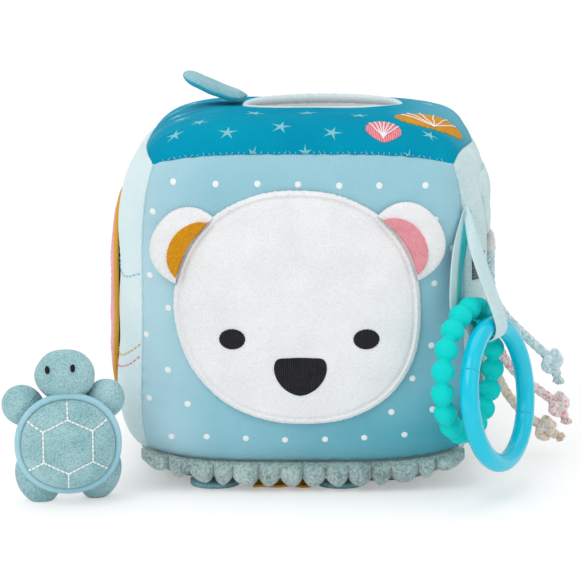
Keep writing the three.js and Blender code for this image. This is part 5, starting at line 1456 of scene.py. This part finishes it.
shell = {"z": 0.0294, "half_width": 0.0215, "half_height": 0.0208, "power": 2.1, "rise": 0.0095,
         "rim": 0.0032, "front": -0.002}
belly = {"half_width": 0.0224, "half_height": 0.0217, "rise": 0.013, "rim": 0.003, "front": -0.0015}
piping = {"half_width": 0.0229, "half_height": 0.0222, "front": -0.0036, "radius": 0.0017}
groove_depth, groove_width, hexagon_share, spoke_reach = 0.0007, 0.0016, 0.62, 1.58
hexagon = hexagon_share * np.array([(-0.0003, 0.0205), (0.0179, 0.0118), (0.0179, -0.0115),
                                    (-0.0003, -0.0205), (-0.0185, -0.0115), (-0.0185, 0.0118)])
shell_lines = [(hexagon[k], hexagon[(k + 1) % 6]) for k in range(6)]
shell_lines += [(corner, spoke_reach * corner) for corner in hexagon]


def turtle_edge(size):
    """The outline of the shell, the belly or the piping."""
    a, b = round_edge(size["half_width"], size["half_height"], shell["power"], full_turn(240))
    return a, shell["z"] + b


def shell_at(x, z, share, rise=0.0):
    """A point on the front shell: a padded crown, drawn in a little along the stitched lines."""
    drawn = 0.0
    for start, end in shell_lines:
        from_x, from_z, (way_x, way_z) = x - start[0], z - shell["z"] - start[1], end - start
        along = np.clip((from_x * way_x + from_z * way_z) / (way_x**2 + way_z**2), 0, 1)
        drawn = np.maximum(drawn, ridge(np.hypot(from_x - along * way_x, from_z - along * way_z),
                                        groove_width))
    crown = crown_rise(shell["rise"], shell["rim"], share) - groove_depth * drawn * (1 - share**6)
    return on_turtle(x, shell["front"] - crown - rise, z)


pad("quilted_shell", turtle_edge(shell), (0.0, shell["z"]), 110, shell_at,
    lambda x, z: on_turtle(x, shell["front"], z), (0.05, 0.14), turtle_terry, "turtle", "turtle_shell",
    "turtle_terry")
pad("stuffed_belly", turtle_edge(belly), (0.0, shell["z"]), 60,
    lambda x, z, share: on_turtle(x, belly["front"] + crown_rise(belly["rise"], belly["rim"], share), z),
    lambda x, z: on_turtle(x, belly["front"], z), (0.05, 0.14), turtle_terry, "turtle", "turtle_belly",
    "turtle_terry")
pipe_x, pipe_z = turtle_edge(piping)
piping_cloth = brushed_cloth("piping_cloth", (176, 218, 228), (150, 200, 214), nap=1600.0, sheen=0.1)
pipe_path = on_turtle(pipe_x, piping["front"], pipe_z)
sewn_piece("shell_piping", [(tube(pipe_path, piping["radius"], 18, ring_out, closed=True),
                             (0.14, 0.0107), (True, True))], piping_cloth, "turtle", ["turtle_piping"],
           "piping_cloth")

turtle_front = np.array([np.sin(turtle_turn), -np.cos(turtle_turn), 0.0])
steps = np.linspace(0.0, 1.0, 60)[:, None]
for k, (start, end) in enumerate(shell_lines):
    x, from_z = (start + (end - start) * steps).T
    share = reach_of(x, from_z, shell["half_width"], shell["half_height"], shell["power"])
    running_stitch(f"shell_stitch_{k}", shell_at(x, shell["z"] + from_z, share, 0.0002), turtle_front,
                   (255, 255, 255), "turtle", "piping_cloth", length=0.0015, space=0.0006, radius=0.00042)

turtle_eyes = {"left": (-0.0089, 0.0644), "right": (0.0027, 0.0652)}
turtle_eye_half_width, turtle_eye_half_height = 0.0011, 0.0017
turtle_eye_rim, turtle_eye_pad, turtle_eye_back = 0.0003, 0.0008, 0.0001
black_satin = satin_stitch("turtle_eye_thread", (34, 34, 38), (12, 12, 14), 3600.0)


def on_head(x, z, rise):
    """A point on the front of the turtle's head."""
    centre, half, _ = turtle_limbs["head"]
    flat = 1 - ((x - centre[0]) / half[0]) ** 2 - ((z - centre[2]) / half[2]) ** 2
    return on_turtle(x, centre[1] - half[1] * np.sqrt(np.clip(flat, 0, 1)) - rise, z)


for side, (x, z) in turtle_eyes.items():
    a, b = round_edge(turtle_eye_half_width, turtle_eye_half_height, 2.0, full_turn(48))
    pad(f"turtle_{side}_eye", (x + a, z + b), (x, z), 16,
        lambda p, q, share: on_head(p, q, turtle_eye_rim
                                    + turtle_eye_pad * np.sqrt(1 - 0.9 * share**2)),
        lambda p, q: on_head(p, q, turtle_eye_back), (0.002, 0.009), black_satin, "turtle",
        f"turtle_eye_{side}", "black_stitching")
